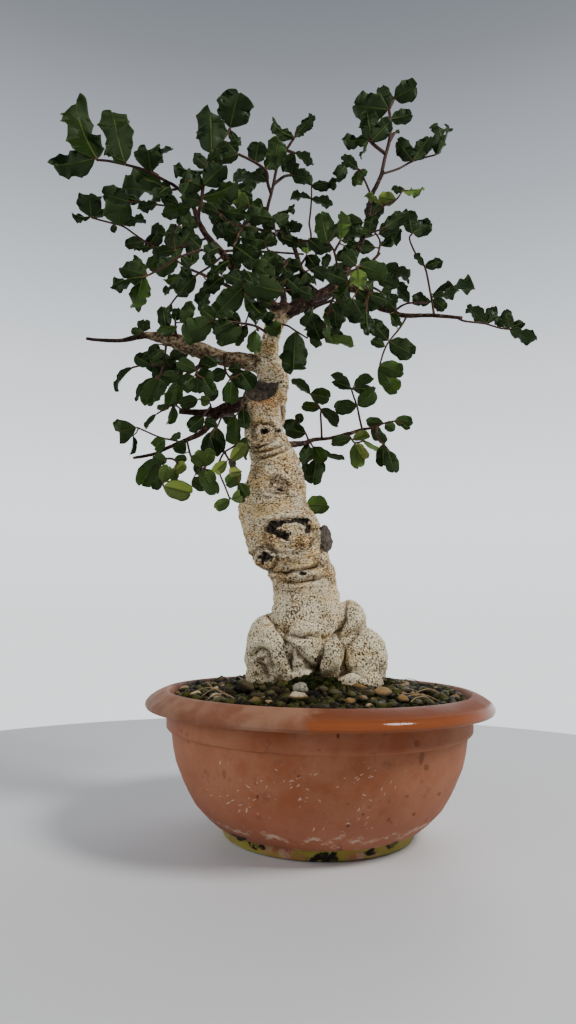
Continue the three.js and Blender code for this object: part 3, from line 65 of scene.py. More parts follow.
# Leafy sprays: name, twig radius, twigs (x, z and depth along each), then the leaflets of the solids, and
# last the small ones that only the dressed model has. A leaflet has x and z of its base, x and z of its
# tip, its width as seen, and its shade from 0 dark to 4 yellow.
SPRAYS = (
    ("spray_upper_left_tip", 1.2, (
        ((-144, 565.5, -29), (-158.5, 574, -31), (-171.6, 579.8, -33), (-196.9, 586.6, -36),
         (-211, 588.5, -38)),
    ), (
        (-211.6, 590.5, -236, 650, 30, 1), (-184.3, 585, -197, 637, 29, 1), (-213, 590, -254, 583, 23, 0),
        (-183, 585, -204, 601, 6, 0), (-158.9, 575.5, -163.3, 601, 25, 1), (-158.9, 576, -141.5, 602, 7, 0),
    ), ()),
    ("spray_left_broad", 1.1, (
        ((-133, 558, -27), (-139, 557, -30), (-146, 558, -34)),
    ), (
        (-141, 558, -176, 579, 18, 1), (-144, 557, -186, 564, 14, 1), (-140, 556, -158, 548, 9, 0),
    ), ()),
    ("spray_left_high", 1, (
        ((-118, 539.5, -22), (-131, 540.5, -16), (-146, 541.5, -12), (-160, 543.5, -10), (-178, 546, -10)),
    ), (
        (-178.5, 546, -204.5, 554.5, 20, 0), (-152, 544, -171, 539.5, 9, 0), (-132, 543, -149, 551, 10, 0),
        (-121, 538.5, -147.7, 534, 13, 1), (-122, 537, -129, 521, 14, 1), (-168, 546, -188, 556, 10, 0),
    ), ()),
    ("spray_left_middle", 1, (
        ((-103.5, 509, -18), (-118, 504, -12), (-135, 499, -10), (-150, 501, -12), (-162, 506.5, -14),
         (-170.5, 512.5, -16), (-183, 521.5, -18), (-198, 526, -20), (-212.6, 530.2, -22)),
        ((-135, 499, -10), (-138, 508, -12), (-134, 522, -14)),
    ), (
        (-212.6, 531, -216.5, 555, 22, 0), (-185, 522, -189.3, 545, 25, 2), (-182, 523, -162, 529, 9, 0),
        (-162, 506, -180.5, 504, 11, 0), (-160, 500, -147, 522.5, 14, 0), (-130, 500, -118, 519, 15, 0),
        (-133.6, 497, -154.5, 494, 11, 1),
    ), (
        (-213.5, 531, -231.5, 534, 5, 0), (-210.5, 531, -200, 537, 6, 0), (-190, 523, -192.5, 515.5, 6, 0),
        (-155, 500, -172, 498, 5, 0),
    )),
    ("spray_left_lower", 1, (
        ((-91, 494, -15), (-108, 497, -24), (-120, 494, -30), (-131.5, 489.5, -33), (-150.5, 477, -36),
         (-158, 473, -37)),
    ), (
        (-158, 473, -182.5, 481.5, 17, 1), (-160, 475, -172, 491, 11, 1), (-161, 472, -166.6, 438.5, 16, 2),
        (-162, 471, -192, 462.5, 9, 0), (-131, 489, -148.5, 475.5, 14, 1), (-128, 491, -118, 481, 9, 0),
    ), ()),
    ("spray_left_drooping", 1, (
        ((-89, 492, -14.5), (-100, 482, -4), (-113, 473, 2), (-121, 464, 4), (-128, 456, 6), (-137, 443, 6)),
    ), (
        (-114.3, 472.5, -131, 453, 15, 0), (-125, 461, -143.5, 457.5, 6, 0), (-99, 482, -105, 497, 12, 0),
        (-96, 480, -100, 463, 11, 0),
    ), (
        (-135, 446, -139, 436, 5, 0),
    )),
    ("spray_left_front", 1, (
        ((-128, 410, -10), (-130, 420, -16), (-131, 431, -20)),
        ((-130, 420, -16), (-139, 423, -18)),
    ), (
        (-139.3, 423, -142.5, 443.3, 13, 0), (-131, 430, -129, 442, 9, 0), (-126, 428, -115.5, 447, 12, 1),
        (-129, 424, -148, 419, 8, 1),
    ), ()),
    ("spray_on_left_limb", 1, (
        ((-159, 415.5, -15), (-160, 420, -19)),
    ), (
        (-160, 420, -158.5, 432, 12, 0),
    ), (
        (-160, 419, -171, 421, 7, 0),
    )),
    ("spray_middle_left", 1.1, (
        ((-46, 416, 1), (-58, 424, -14), (-72, 427, -20), (-86, 429, -26), (-97, 430, -28)),
        ((-58, 424, -14), (-56, 420, -20)),
    ), (
        (-98, 429, -124.5, 414, 22, 1), (-95, 430, -108, 442, 14, 1), (-71, 424, -94, 410, 17, 1),
        (-66, 425, -77, 407, 11, 1), (-59, 420, -59.8, 398.8, 13, 2), (-50, 422, -35.5, 421, 13, 2),
        (-72, 427, -86, 438, 11, 0), (-84, 430, -96, 447, 10, 0),
    ), ()),
    ("spray_front_left", 1, (
        ((-56, 479, -55), (-62, 474, -62), (-70, 462, -66)),
        ((-58, 476, -48), (-44, 468, -58), (-34, 457, -62)),
    ), (
        (-70, 461, -95.6, 433.5, 21, 1), (-34, 456, -72, 466, 22, 1), (-42, 468, -62, 484, 18, 1),
        (-68, 466, -86, 474, 15, 0), (-54, 481, -40, 494, 14, 1), (-72, 460, -82, 444, 10, 0),
        (-38, 464, -24, 473, 12, 0),
    ), ()),
    ("spray_high_left_crown", 1.5, (
        ((-112, 523, -19.5), (-113, 532, -30), (-111, 545, -34), (-109.5, 560, -35), (-108, 577, -35),
         (-103, 594, -34), (-97.5, 600.5, -33), (-90, 611, -31), (-86, 618, -30)),
    ), (
        (-102.7, 594, -105.3, 637.5, 28, 0), (-86, 619.5, -78.7, 658, 32, 0), (-86, 617, -75.5, 600, 8, 0),
        (-107, 579, -119.5, 592.5, 11, 0), (-109, 575, -139, 583, 7, 0), (-109, 560, -131, 569, 20, 0),
        (-109, 562, -90, 582, 20, 0), (-111, 549, -76, 564, 14, 1), (-99, 598, -86, 601, 10, 0),
        (-106, 585, -93, 594, 12, 1), (-111, 546, -130, 549, 14, 1),
    ), ()),
    ("spray_top_centre", 1.5, (
        ((-52, 514.5, 17), (-49.7, 537.5, 10), (-46.9, 550, 8), (-45, 559, 8), (-41.8, 578, 8),
         (-38.8, 587, 8), (-33, 596, 8), (-28.9, 602.7, 8), (-26.2, 607.3, 8)),
        ((-47, 551, 8), (-50, 562, 4), (-51.5, 574, 0), (-62, 583, -4), (-77.4, 591.5, -8)),
        ((-45, 560, 8), (-35, 568.5, 12), (-28, 569.5, 14)),
        ((-33, 596, 8), (-26, 592, 4)),
    ), (
        (-77.5, 591.5, -96, 587, 11, 0), (-79, 593, -88, 604, 12, 0), (-62, 583, -59, 605, 18, 0),
        (-46, 576, -40, 607, 19, 2), (-52, 577, -43, 590, 11, 1), (-26.4, 607.5, -48, 624, 11, 0),
        (-26, 608, -11, 619, 8, 0), (-22, 613, -8, 631, 10, 0), (-26, 592, -35.3, 572.5, 12, 0),
        (-25, 592, -6.5, 581, 8, 0), (-50.5, 564, -80, 572, 8, 0), (-51, 566, -62, 576, 10, 0),
        (-28, 570, -12, 567, 13, 0), (-29, 571, -26, 584, 12, 0),
    ), ()),
    ("spray_slender_centre", 1, (
        ((-27, 503, 24), (-12, 505, 22), (-9.8, 510.5, 22), (-11.5, 521.5, 22), (-10.6, 531, 22),
         (-9.7, 545.6, 22), (-9.8, 558.7, 22)),
    ), (
        (-9.8, 559.5, -20, 575, 9, 0), (-9.8, 559, 14.6, 560.5, 10, 0), (-10, 546, -29.5, 547, 6, 0),
        (-9.5, 545.6, 11, 540.5, 8, 0),
    ), ()),
    ("spray_leader_top", 1.7, (
        ((54, 568.5, 18), (57.4, 586, 18), (61.6, 603, 18), (62.8, 620, 18), (61.9, 630, 18), (61, 636, 18)),
        ((57, 589.5, 18), (46, 600, 14), (43, 605, 13)),
        ((61, 636, 18), (66.5, 646, 22)),
        ((61, 602, 18), (66, 610, 22)),
    ), (
        (66.5, 646, 88, 658.5, 19, 0), (63.4, 624.5, 83.5, 629, 13, 0), (60, 634, 27.5, 640, 24, 0),
        (61, 635, 52, 658.5, 13, 0), (45, 602.5, 63.5, 623.5, 15, 0), (45, 603, 41, 634, 18, 0),
        (43, 605, 17.5, 604.3, 11, 0),
    ), (
        (65, 645, 56.5, 651, 5, 0), (42, 603, 33.5, 586.5, 4, 0), (66, 610, 71, 612, 3, 0),
    )),
    ("spray_leader_left", 1, (
        ((44.8, 548, 18), (38.6, 564, 14), (34, 574, 12), (21.3, 579.5, 10)),
    ), (
        (21.3, 579.5, 12.5, 564.5, 12, 0), (33, 575, 19, 584, 7, 0), (34, 574, 31, 557.5, 11, 2),
    ), (
        (35, 574, 41, 569, 6, 2),
    )),
    ("spray_leader_right", 1.1, (
        ((54.5, 569.3, 18), (70, 574.6, 22), (81.1, 581, 24), (93.3, 585, 26), (103.6, 587.5, 27)),
    ), (
        (82, 583, 68, 603.5, 15, 0), (83, 583, 99, 607, 14, 0), (104, 588, 107, 619, 12, 0),
    ), (
        (105, 589, 116, 617, 5, 0),
    )),
    ("spray_leader_low", 1, (
        ((41.4, 525.5, 16.5), (47.7, 531.5, 12), (55.8, 538, 8), (67, 543.7, 6), (73.2, 553, 6)),
    ), (
        (67, 543.7, 51, 546.5, 12, 4),
    ), (
        (52, 541, 38.5, 548.5, 5, 4), (75, 554, 62.6, 554.5, 6, 0), (73, 553, 93, 556, 5, 3),
    )),
    ("spray_leader_side", 1, (
        ((38, 511.5, 15), (46, 512.5, 8), (56, 516.5, 4)),
    ), (
        (57, 517, 77, 530.5, 14, 0), (42, 512.5, 46.5, 529, 13, 0),
    ), (
        (44, 513, 30, 517, 7, 1),
    )),
    ("spray_right_high", 1.1, (
        ((99.5, 433, 18), (98, 445.5, 22), (96.2, 456.5, 24), (92, 479, 26), (83.9, 491.8, 28),
         (78.8, 505.5, 28), (81, 510.5, 28)),
    ), (
        (92, 479, 108.5, 484, 9, 0), (81.8, 511.5, 99.3, 521.5, 15, 0), (81, 511.5, 77.5, 534.5, 14, 0),
        (97, 446, 79.8, 450.5, 9, 0), (98, 451, 121.5, 456, 8, 1), (99, 453, 137, 456.5, 8, 1),
        (99, 448, 110, 438.5, 11, 1),
    ), (
        (91, 480, 84.5, 492.5, 6, 0),
    )),
    ("spray_right_middle", 1, (
        ((64, 436.2, 18), (70, 441.5, 14), (77, 444.5, 12), (86, 444.8, 12), (95, 444.8, 12)),
    ), (
        (78, 446, 64.5, 466, 10, 1), (66, 439, 54, 452, 12, 0), (61, 434.5, 70, 423, 9, 1),
    ), (
        (94, 445, 84, 453.5, 7, 0),
    )),
    ("spray_right_tip", 1, (
        ((120, 430.2, 18), (126, 427.6, 18), (139.7, 425.7, 20), (145.5, 424.6, 21), (157, 420.8, 23),
         (164.6, 419.7, 24)),
    ), (
        (145.5, 425.5, 127.3, 441, 11, 0), (145.7, 425.5, 152, 441.3, 11, 0), (164.5, 420, 149, 434, 8, 0),
        (165, 420, 188, 410, 11, 0), (165, 421, 161.5, 438.5, 10, 0),
    ), (
        (166, 422, 178, 426, 8, 0),
    )),
    ("spray_right_low", 1, (
        ((75.6, 432.3, 18), (69.5, 421.8, 14), (59.7, 409, 10), (55.2, 400, 8), (51.7, 388, 6)),
    ), (
        (60, 409, 82, 396.5, 18, 1), (59, 410.5, 44, 428.5, 14, 0), (51.7, 387.5, 73, 381, 14, 2),
        (51.5, 387.5, 67, 362, 16, 2), (56, 405, 44, 411, 8, 0),
    ), ()),
    ("spray_low_right_first", 1, (
        ((1.2, 321, 27), (0.5, 334, 26), (0, 343, 25), (-0.5, 348.5, 24), (-9.2, 361.5, 22)),
    ), (
        (-0.8, 348.5, -16.9, 351, 9, 1), (0.4, 348, 16, 333, 10, 0), (-9.2, 361.5, -27, 373, 8, 0),
        (-9, 361.5, 8.5, 358, 14, 1),
    ), ()),
    ("spray_low_right_second", 1, (
        ((36, 329.3, 28), (33.5, 341, 26), (31.7, 350, 25), (28.7, 359, 24), (26.7, 365.5, 24)),
    ), (
        (31.2, 350.8, 11.2, 348.5, 13, 1), (32.7, 351, 48, 364.5, 15, 1), (26.7, 366, 9.2, 371.5, 6, 0),
        (27.6, 366.3, 48, 367.5, 8, 0),
    ), ()),
    ("spray_low_right_tip", 1, (
        ((43, 330.5, 28), (50, 332.8, 28), (55, 335, 28), (64, 337, 27)),
        ((47, 331.5, 28), (48.5, 324, 22), (54, 317, 18), (58, 312, 16)),
    ), (
        (54, 335.5, 39, 336.5, 9, 1), (64, 337, 80.3, 337, 10, 1), (48, 328.5, 56.5, 317.5, 8, 0),
        (54, 316.5, 54, 296.5, 13, 0), (58, 311, 64, 291, 12, 0),
    ), (
        (56, 334.5, 65, 329.5, 9, 1), (70, 335, 77.5, 330, 4, 0),
    )),
    ("spray_low_right_front", 0.9, (
        ((24, 325.3, 28), (26.5, 321.5, 20), (30, 317.5, 14), (38, 319.5, 10)),
    ), (
        (28, 321, 43, 325, 8, 3), (26.5, 321.5, 8.8, 317.5, 9, 1), (29.6, 317, 33.4, 295, 13, 2),
        (32, 317, 40.5, 303.5, 7, 4),
    ), (
        (37, 319.5, 50, 311.5, 4, 2),
    )),
    ("spray_low_right_back", 0.9, (
        ((-10, 318.6, 25), (-14, 328, 30), (-22, 338, 32)),
        ((-6, 320, 25.5), (-5, 311, 32), (-3, 304, 34)),
    ), (
        (-13, 326, -31.5, 331, 14, 0), (-21, 337, -33.5, 331.5, 9, 0), (-5, 314, 3, 300, 13, 1),
        (-6, 312, -17, 303, 13, 1), (-3.5, 303.5, -6.5, 280, 15, 0), (-4, 306, 2.5, 291, 9, 0),
    ), (
        (-4, 312, 20.5, 301.5, 4, 0), (-18, 335, -19, 344, 8, 0),
    )),
    ("spray_behind_trunk", 0.9, (
        ((-30, 262, 7), (-20, 263.5, 16), (-12, 263.5, 18)),
    ), (
        (-11.5, 263.5, 7.6, 263, 16, 2),
    ), ()),
    ("spray_hanging_leaf", 0.9, (
        ((-38, 426, 0), (-30, 424.3, -8), (-22.7, 419.5, -12), (-12, 412.5, -14)),
    ), (
        (-22.7, 418.6, -24.3, 379.6, 24, 0), (-10, 414, 0, 405, 8, 0),
    ), ()),
    ("spray_low_left_tip", 1, (
        ((-141, 309.3, 0), (-140.5, 302, -7), (-137.5, 291, -13), (-136, 280, -18)),
        ((-140.5, 302, -7), (-129, 303, -13), (-124, 299, -17)),
    ), (
        (-142, 303, -156.3, 278.5, 18, 1.3), (-135.8, 278.5, -110.2, 272.5, 17, 3),
        (-136.5, 283, -132, 297.5, 12, 2.5), (-126, 291, -117, 300, 10, 3), (-138, 288, -144, 275.5, 9, 0),
    ), (
        (-127, 302.5, -116, 304, 7, 1), (-125, 296, -127.5, 283.5, 8, 3),
    )),
    ("spray_low_left_middle", 1, (
        ((-116.7, 320, 7), (-112, 304, -2), (-104, 296, -8), (-98, 293, -12)),
    ), (
        (-105, 293.5, -88.5, 271.5, 13, 1.7), (-98, 298, -111, 308, 14, 2.4),
        (-99, 294, -91.5, 283, 9, 2.3), (-100, 297, -94, 312, 11, 2.4),
    ), (
        (-109, 299, -104, 289, 7, 0),
    )),
    ("spray_low_left_inner", 0.9, (
        ((-58, 321, 0), (-70, 317, -12), (-77, 313, -16), (-84, 308, -18), (-88, 298, -19),
         (-86.5, 289, -20), (-83, 281, -21), (-77.5, 268, -22)),
        ((-84, 308, -18), (-79, 302.5, -21), (-70, 292.5, -24)),
    ), (
        (-77.5, 301.8, -65, 317, 11, 3.2), (-81, 301, -92.3, 290.5, 10, 3.3), (-68, 289, -82, 281, 12, 1.8),
        (-77.5, 267, -90.5, 259.5, 10, 2.2),
    ), (
        (-68, 292, -79.5, 290.5, 9, 3.2), (-76, 267.8, -67, 271, 11, 3), (-74, 303, -79, 296, 8, 0),
    )),
    ("spray_low_left_purple", 1, (
        ((-84, 348, 16), (-87, 340, 4), (-90, 332, -2)),
        ((-86, 342, 6), (-78, 342, -4), (-74.5, 341, -8)),
    ), (
        (-90.5, 331, -89.5, 307, 15, 0), (-74.5, 341, -76, 314, 13, 1),
    ), (
        (-90, 333, -102, 338, 8, 0),
    )),
    ("spray_low_left_outer", 0.9, (
        ((-122, 317.3, 5), (-126, 319, 0), (-140, 322, -6), (-153, 327.5, -8), (-161, 331, -9)),
    ), (
        (-162, 331, -180, 326.5, 21, 1), (-136, 321, -146, 312, 12, 1),
    ), (
        (-164, 323, -167, 306, 4, 0), (-131, 321, -121, 325, 6, 1),
    )),
    ("spray_cut_stub", 0.9, (
        ((-121, 345.7, 16.5), (-126, 350, 10), (-130, 351.5, 6), (-144, 343.5, 2)),
    ), (
        (-126.5, 353, -126, 370.5, 9, 2), (-130, 351, -133.5, 333, 8, 1),
    ), (
        (-133, 351, -144, 348, 6, 1), (-145, 343, -155.5, 331, 5, 1),
    )),
    ("spray_below_left_limb", 1, (
        ((-138, 411, -12.5), (-139, 397, -8), (-141, 384, -8), (-144, 376.5, -9)),
        ((-140.5, 388, -8), (-155, 388.5, -4), (-168, 386, -2)),
    ), (
        (-144.5, 376, -155.6, 350.5, 14, 1), (-143.5, 376, -134, 367, 11, 0),
        (-141, 379, -125.5, 377, 10, 0), (-152, 389, -166.5, 397, 12, 0), (-140, 390, -150, 397.5, 9, 0),
        (-138.5, 393, -130, 383, 12, 0),
    ), (
        (-147, 377, -162.3, 354, 5, 1), (-168, 386, -182.5, 364, 5, 0),
    )),
    ("spray_under_left_limb", 1, (
        ((-105, 398, -5), (-108, 388, -14), (-111, 379, -20)),
    ), (
        (-112, 378, -124.5, 366, 16, 0), (-110, 380, -94, 371, 18, 1), (-111, 384, -128, 392, 12, 1),
        (-108, 388, -95, 390.5, 9, 1), (-110, 376, -108, 362, 12, 0),
    ), ()),
    ("spray_under_left_inner", 1, (
        ((-86, 391, -2), (-84, 382, -12), (-79, 375, -18)),
    ), (
        (-80, 378, -56, 371, 17, 0), (-79, 373, -79.5, 352, 15, 1), (-84, 382, -96, 377, 12, 0),
    ), (
        (-82, 384, -70, 386, 8, 0),
    )),
    ("spray_stub_leaves", 0.9, (
        ((-96, 345.5, 18), (-97.5, 353, 6), (-107, 357, 0)),
        ((-97, 350, 10), (-103, 341, 0)),
    ), (
        (-108, 356.5, -125, 352, 12, 0), (-102.5, 341, -116, 329, 13, 0), (-98.5, 355, -93, 368, 11, 0),
    ), (
        (-97, 356, -106, 355, 9, 2),
    )),
    ("spray_centre_low", 1.1, (
        ((13, 455, -35), (9, 446, -40), (6, 437, -42)),
        ((10, 448, -39), (-4, 442, -34), (-10, 437, -32)),
        ((6, 437, -42), (3, 420, -44), (5, 409, -44)),
    ), (
        (-10, 437, 0, 408.5, 18, 0), (9, 445, 16, 424, 20, 1), (4, 436, 6, 407, 7, 1),
        (5, 409, 30, 405.5, 9, 3), (14, 452, 29, 436, 15, 1),
    ), ()),
    ("spray_centre_front", 1.1, (
        ((23, 461, -49), (27, 470, -56), (32, 479, -60)),
        ((24, 462.5, -50), (36, 460, -56), (44, 455, -58)),
    ), (
        (31, 481, 20, 494, 13, 1), (33, 477.5, 33, 458.5, 15, 3), (35, 480, 60, 472, 17, 2),
        (24, 466, 2, 476, 15, 0), (25, 462, 14, 448, 15, 1), (45, 455, 50, 443.5, 11, 1),
    ), (
        (34, 482, 44, 487, 6, 1),
    )),
    ("spray_centre_right", 1.1, (
        ((38, 455.5, 13.5), (44, 462, 6), (52, 476, 2)),
        ((43, 461, 8), (52, 456, 0), (56, 450, -2)),
    ), (
        (52, 477, 80, 468, 13, 0), (55, 450, 68, 447, 11, 0), (46, 466, 36, 452, 12, 0),
        (50, 470, 60, 462, 9, 0),
    ), (
        (53, 455, 63, 457, 8, 1),
    )),
    ("spray_centre_top", 1.1, (
        ((14, 464.5, 5.5), (14, 480, -6), (11, 495, -12), (6, 503, -14)),
        ((11, 495, -12), (17, 505, -12)),
    ), (
        (5, 503, -1.5, 534.5, 18, 2), (17, 506, 16, 533, 12, 3), (13, 487, 24, 494, 10, 1),
    ), (
        (9, 500, 0, 497, 10, 0), (18, 505, 30, 506, 5, 0),
    )),
    ("spray_centre_dark", 1.1, (
        ((-20, 482, 22), (-17, 477, 8), (-15, 475, 0)),
        ((-20.5, 484, 22), (-13, 491, 12)),
    ), (
        (-15, 474, -28, 449.5, 18, 0), (-13, 491, -3, 477, 14, 0), (-17, 478, -6, 464, 9, 0),
        (-18, 479, -34, 484, 12, 0),
    ), (
        (-14, 493, -15, 499, 6, 3),
    )),
    ("spray_upper_middle_front", 1, (
        ((-41, 511, 20), (-43, 518, 6), (-44, 528, -4)),
        ((-42, 515, 12), (-28, 514, 2)),
    ), (
        (-45, 529, -23.6, 536.5, 6, 0), (-45, 527, -71, 532, 14, 1), (-28, 514, -21, 524, 12, 0),
        (-43, 518, -55, 524, 9, 0), (-31, 514, -36, 526, 10, 0), (-40, 516, -28, 503, 12, 1),
    ), ()),
    ("spray_upper_middle_left", 1, (
        ((-67, 519.5, 12), (-66, 528, -2), (-67, 540, -6)),
        ((-66, 524, 4), (-76, 513, -10)),
    ), (
        (-66.8, 541.5, -85, 553.6, 13, 3), (-65, 537, -55, 546, 8, 2), (-68, 531, -90, 536, 12, 1),
        (-70, 519, -58, 505, 14, 1), (-77, 512, -92, 520, 12, 0), (-76, 511, -84, 500, 11, 1),
        (-66, 532, -58, 521, 10, 1),
    ), ()),
    ("spray_upper_middle_end", 1, (
        ((-85, 523, 6.5), (-93, 532, 4), (-101, 537, 4)),
    ), (
        (-85, 525, -101, 529, 10, 0), (-96, 534, -112, 541, 10, 1), (-99, 536, -94, 549, 8, 1),
    ), (
        (-84, 526, -87, 545, 5, 0),
    )),
    ("spray_side_twig", 0.9, (
        ((-48, 494.6, -2), (-50, 500, -10), (-52, 505, -14)),
        ((-28, 493, 1), (-32, 486, -10), (-34, 480, -14)),
    ), (
        (-52, 505, -64, 498, 10, 1), (-33, 483, -46, 488, 9, 0),
    ), (
        (-51, 503, -40, 507, 9, 1), (-34, 480, -26, 470, 8, 0),
    )),
)

# Outline of the trunk: z, left, right, depth over width
TRUNK_RINGS = (
    (100, -55, 46, 0.95), (117, -57, 50, 0.95), (130, -60.5, 56.5, 0.93), (142, -61.5, 55.3, 0.9),
    (152, -59, 48.5, 0.86), (161, -53, 38, 0.84), (170, -41, 30, 0.86), (183, -38.5, 17, 0.92),
    (198, -41, 14.5, 0.92), (206, -45, 13.5, 0.92), (213, -55.5, 10.5, 0.88), (225, -61.3, 6, 0.88),
    (238, -65.5, 2, 0.88), (250, -69, -1.5, 0.88), (260, -70, -8.3, 0.88), (270, -68.6, -11.5, 0.88),
    (281, -64.5, -11, 0.88), (293, -60.8, -15.5, 0.9), (304, -60.5, -19.5, 0.92), (313, -64.8, -24, 0.92),
    (326, -66, -30.8, 0.92), (340, -68.7, -34.5, 0.92), (347, -70.8, -33.5, 0.92), (374, -64, -38, 0.9),
)

# Limbs and branches: name, then x, z, depth and radius along each. The first is the trunk's own top.
LIMBS = (
    ("live top", (
        (-46, 316, 4, 9), (-43, 338, 7, 12), (-42.5, 357, 7, 13.2), (-41.5, 373, 5, 13.8),
        (-45.5, 386, 3, 12.8), (-47.3, 399, 2, 10.2), (-45, 411, 1, 8.7), (-42.5, 421, 0, 8.2),
        (-38.5, 431, 0, 8.6), (-34, 439, 0, 8.2), (-29, 444, 0, 5),
    )),
    ("left", (
        (-44, 386, 2, 9), (-58, 389.5, 0, 8.2), (-71, 392, -1, 6.8), (-86, 394, -2, 6.6),
        (-104, 400.2, -5, 7), (-122, 407.5, -9, 6.4), (-136, 412.4, -12, 5.3), (-146, 414, -13, 4),
        (-158, 416, -15, 3.1), (-178, 411.4, -19, 1.9), (-198, 411.7, -21, 1.6), (-211, 413.3, -22, 1.4),
    )),
    ("upper left", (
        (-38, 436, 0, 5), (-50, 451, -4, 4.4), (-62, 464, -8, 4), (-77.5, 476, -12, 3.6),
        (-91, 495, -15, 3.2), (-103.5, 509, -18, 3), (-112.5, 524, -20, 2.6), (-118, 539.5, -22, 2.2),
        (-127, 552.5, -25, 1.8), (-137, 561.5, -28, 1.5), (-147, 567, -30, 1.3),
    )),
    ("upper left side", (
        (-91, 495, -15, 1.6), (-80, 496.2, -10, 1.2), (-55, 495, -4, 1.1), (-40, 494, 0, 1),
        (-16, 492, 2, 0.9),
    )),
    ("right", (
        (-36, 434, 1, 6.8), (-24, 440.5, 1, 6.5), (-14, 445.3, 2, 6.2), (-4, 449.8, 3, 6),
        (6, 455.5, 4, 5.6), (12, 459.5, 4, 5.2), (26, 459, 10, 3.8), (40, 454, 14, 3.2),
        (50, 441.5, 16, 2.8), (60, 437.6, 18, 2.4), (73, 433.2, 18, 2.2), (98, 433, 18, 1.8),
        (124.2, 430.5, 18, 1.5),
    )),
    ("leader", (
        (8, 457, 4, 4), (15, 466, 6, 3.2), (22, 475, 8, 2.8), (32, 493.4, 12, 2.5), (40.4, 521, 16, 2.3),
        (44.4, 546, 18, 2.1), (49.6, 558, 18, 2.1), (55.6, 572, 18, 2),
    )),
    ("upper middle", (
        (-3, 453, 3, 3.6), (-13, 464, 12, 2.8), (-20, 482, 22, 2.3), (-27, 502, 24, 1.9),
        (-41, 511, 20, 1.5), (-54, 515.5, 16, 1.4), (-67, 519.5, 12, 1.3), (-80, 521.5, 8, 1.2),
        (-88, 524, 5, 1.1),
    )),
    ("low right", (
        (-36, 316, 4, 3.8), (-24, 316, 13, 3), (-14, 317.3, 20, 2.3), (-5, 320.3, 25, 1.8),
        (6.5, 321.3, 28, 1.4), (16.2, 323.1, 28, 1.9), (21, 324.5, 28, 2.1), (27, 326.3, 28, 1.7),
        (34.5, 329, 28, 1.4), (46, 331, 28, 1.1),
    )),
    ("low left", (
        (-52, 350, 2, 7), (-64, 353, 10, 6.8), (-79, 349, 15, 6), (-91.7, 345, 18, 4.6),
        (-105, 344.3, 18, 3.2), (-124.7, 346, 16, 2.7),
    )),
    ("low left fork", (
        (-88, 346, 17, 4), (-97.4, 334, 14, 3.1), (-104.5, 326, 10, 2.7), (-118.6, 319, 6, 2.1),
        (-132.9, 313, 2, 1.7), (-145.8, 307, -2, 1.5), (-163.3, 303.6, -6, 1.3),
    )),
    ("back left", (
        (-41, 422, 3, 4), (-52, 437, 22, 3.2), (-68, 452, 44, 2.4), (-92, 466, 66, 1.6),
        (-118, 478, 84, 1.2),
    )),
    ("back right", (
        (-4, 449, 4, 4), (8, 461, 26, 3), (24, 473, 50, 2.2), (40, 480, 74, 1.5), (52, 492, 92, 1.2),
    )),
    ("back low", (
        (-92, 396, -2, 4), (-102, 390, 20, 2.8), (-112, 384, 42, 2), (-122, 377, 62, 1.4),
    )),
    ("back middle", (
        (-36, 436, 3, 4), (-34, 452, 26, 3), (-42, 474, 50, 2.2), (-58, 496, 66, 1.5), (-66, 514, 78, 1.2),
    )),
    ("front left", (
        (-58, 460, -7, 2.8), (-60, 466, -24, 2), (-58, 474, -42, 1.5), (-56, 480, -56, 1.2),
    )),
    ("front right", (
        (-8, 448, 2, 3), (2, 451, -18, 2.2), (14, 455, -36, 1.6), (24, 462, -50, 1.2),
    )),
)

# Sprays behind the crown: name, twig (x, z and depth along it), and pairs of leaflets
BACK_SPRAYS = (
    ("spray_back_left", ((-112, 475, 80), (-128, 484, 98), (-140, 496, 112)), 3),
    ("spray_back_right", ((50, 490, 90), (52, 505, 104), (40, 522, 116)), 3),
    ("spray_back_low", ((-119, 379, 57), (-132, 372, 76), (-142, 378, 94)), 3),
    ("spray_back_middle", ((-65, 511, 76.5), (-72, 528, 92), (-84, 548, 100)), 3),
)

# Pot profile: radius and height, from the middle of the foot up the outside and down the inside
POT_PROFILE = (
    (30, 0), (73.8, 0), (75.6, 0.6), (76.4, 2.2), (77.6, 7.6), (78.4, 8.6), (82, 9.4), (84.6, 11),
    (90, 15.5), (95, 20.6), (99.4, 25.4), (104.2, 33.4), (108.6, 42), (112, 50), (114.5, 56), (116.9, 66),
    (118.4, 76), (119.2, 79.4), (121.6, 80.4), (122.7, 81.6), (122.9, 84), (122.8, 95.6), (124, 96.4),
    (136.4, 96.4), (138.9, 97), (139.95, 98.8), (139.6, 101), (137.2, 103.9), (133.2, 106.6),
    (128.6, 108.9), (125.6, 110), (123.8, 110.2), (122.4, 109.6), (121.4, 108), (120.6, 98), (119.8, 82),
    (111.6, 56), (105.5, 42), (95.8, 25), (73, 4.2), (30, 4),
)
DRAIN_RING = 46
DRAIN_RADIUS = 6
DRAIN_HOLES = 5

# The soil against the inside of the pot: radius and height, then the height, fall and reach of its dome
SOIL_WALL = ((73, 4.6), (95, 25.4), (104.8, 42.4), (110.9, 56.4), (119.2, 82.4), (119.9, 103))
SOIL_HEIGHT = 116.2
SOIL_FALL = 11.5
SOIL_REACH = 121

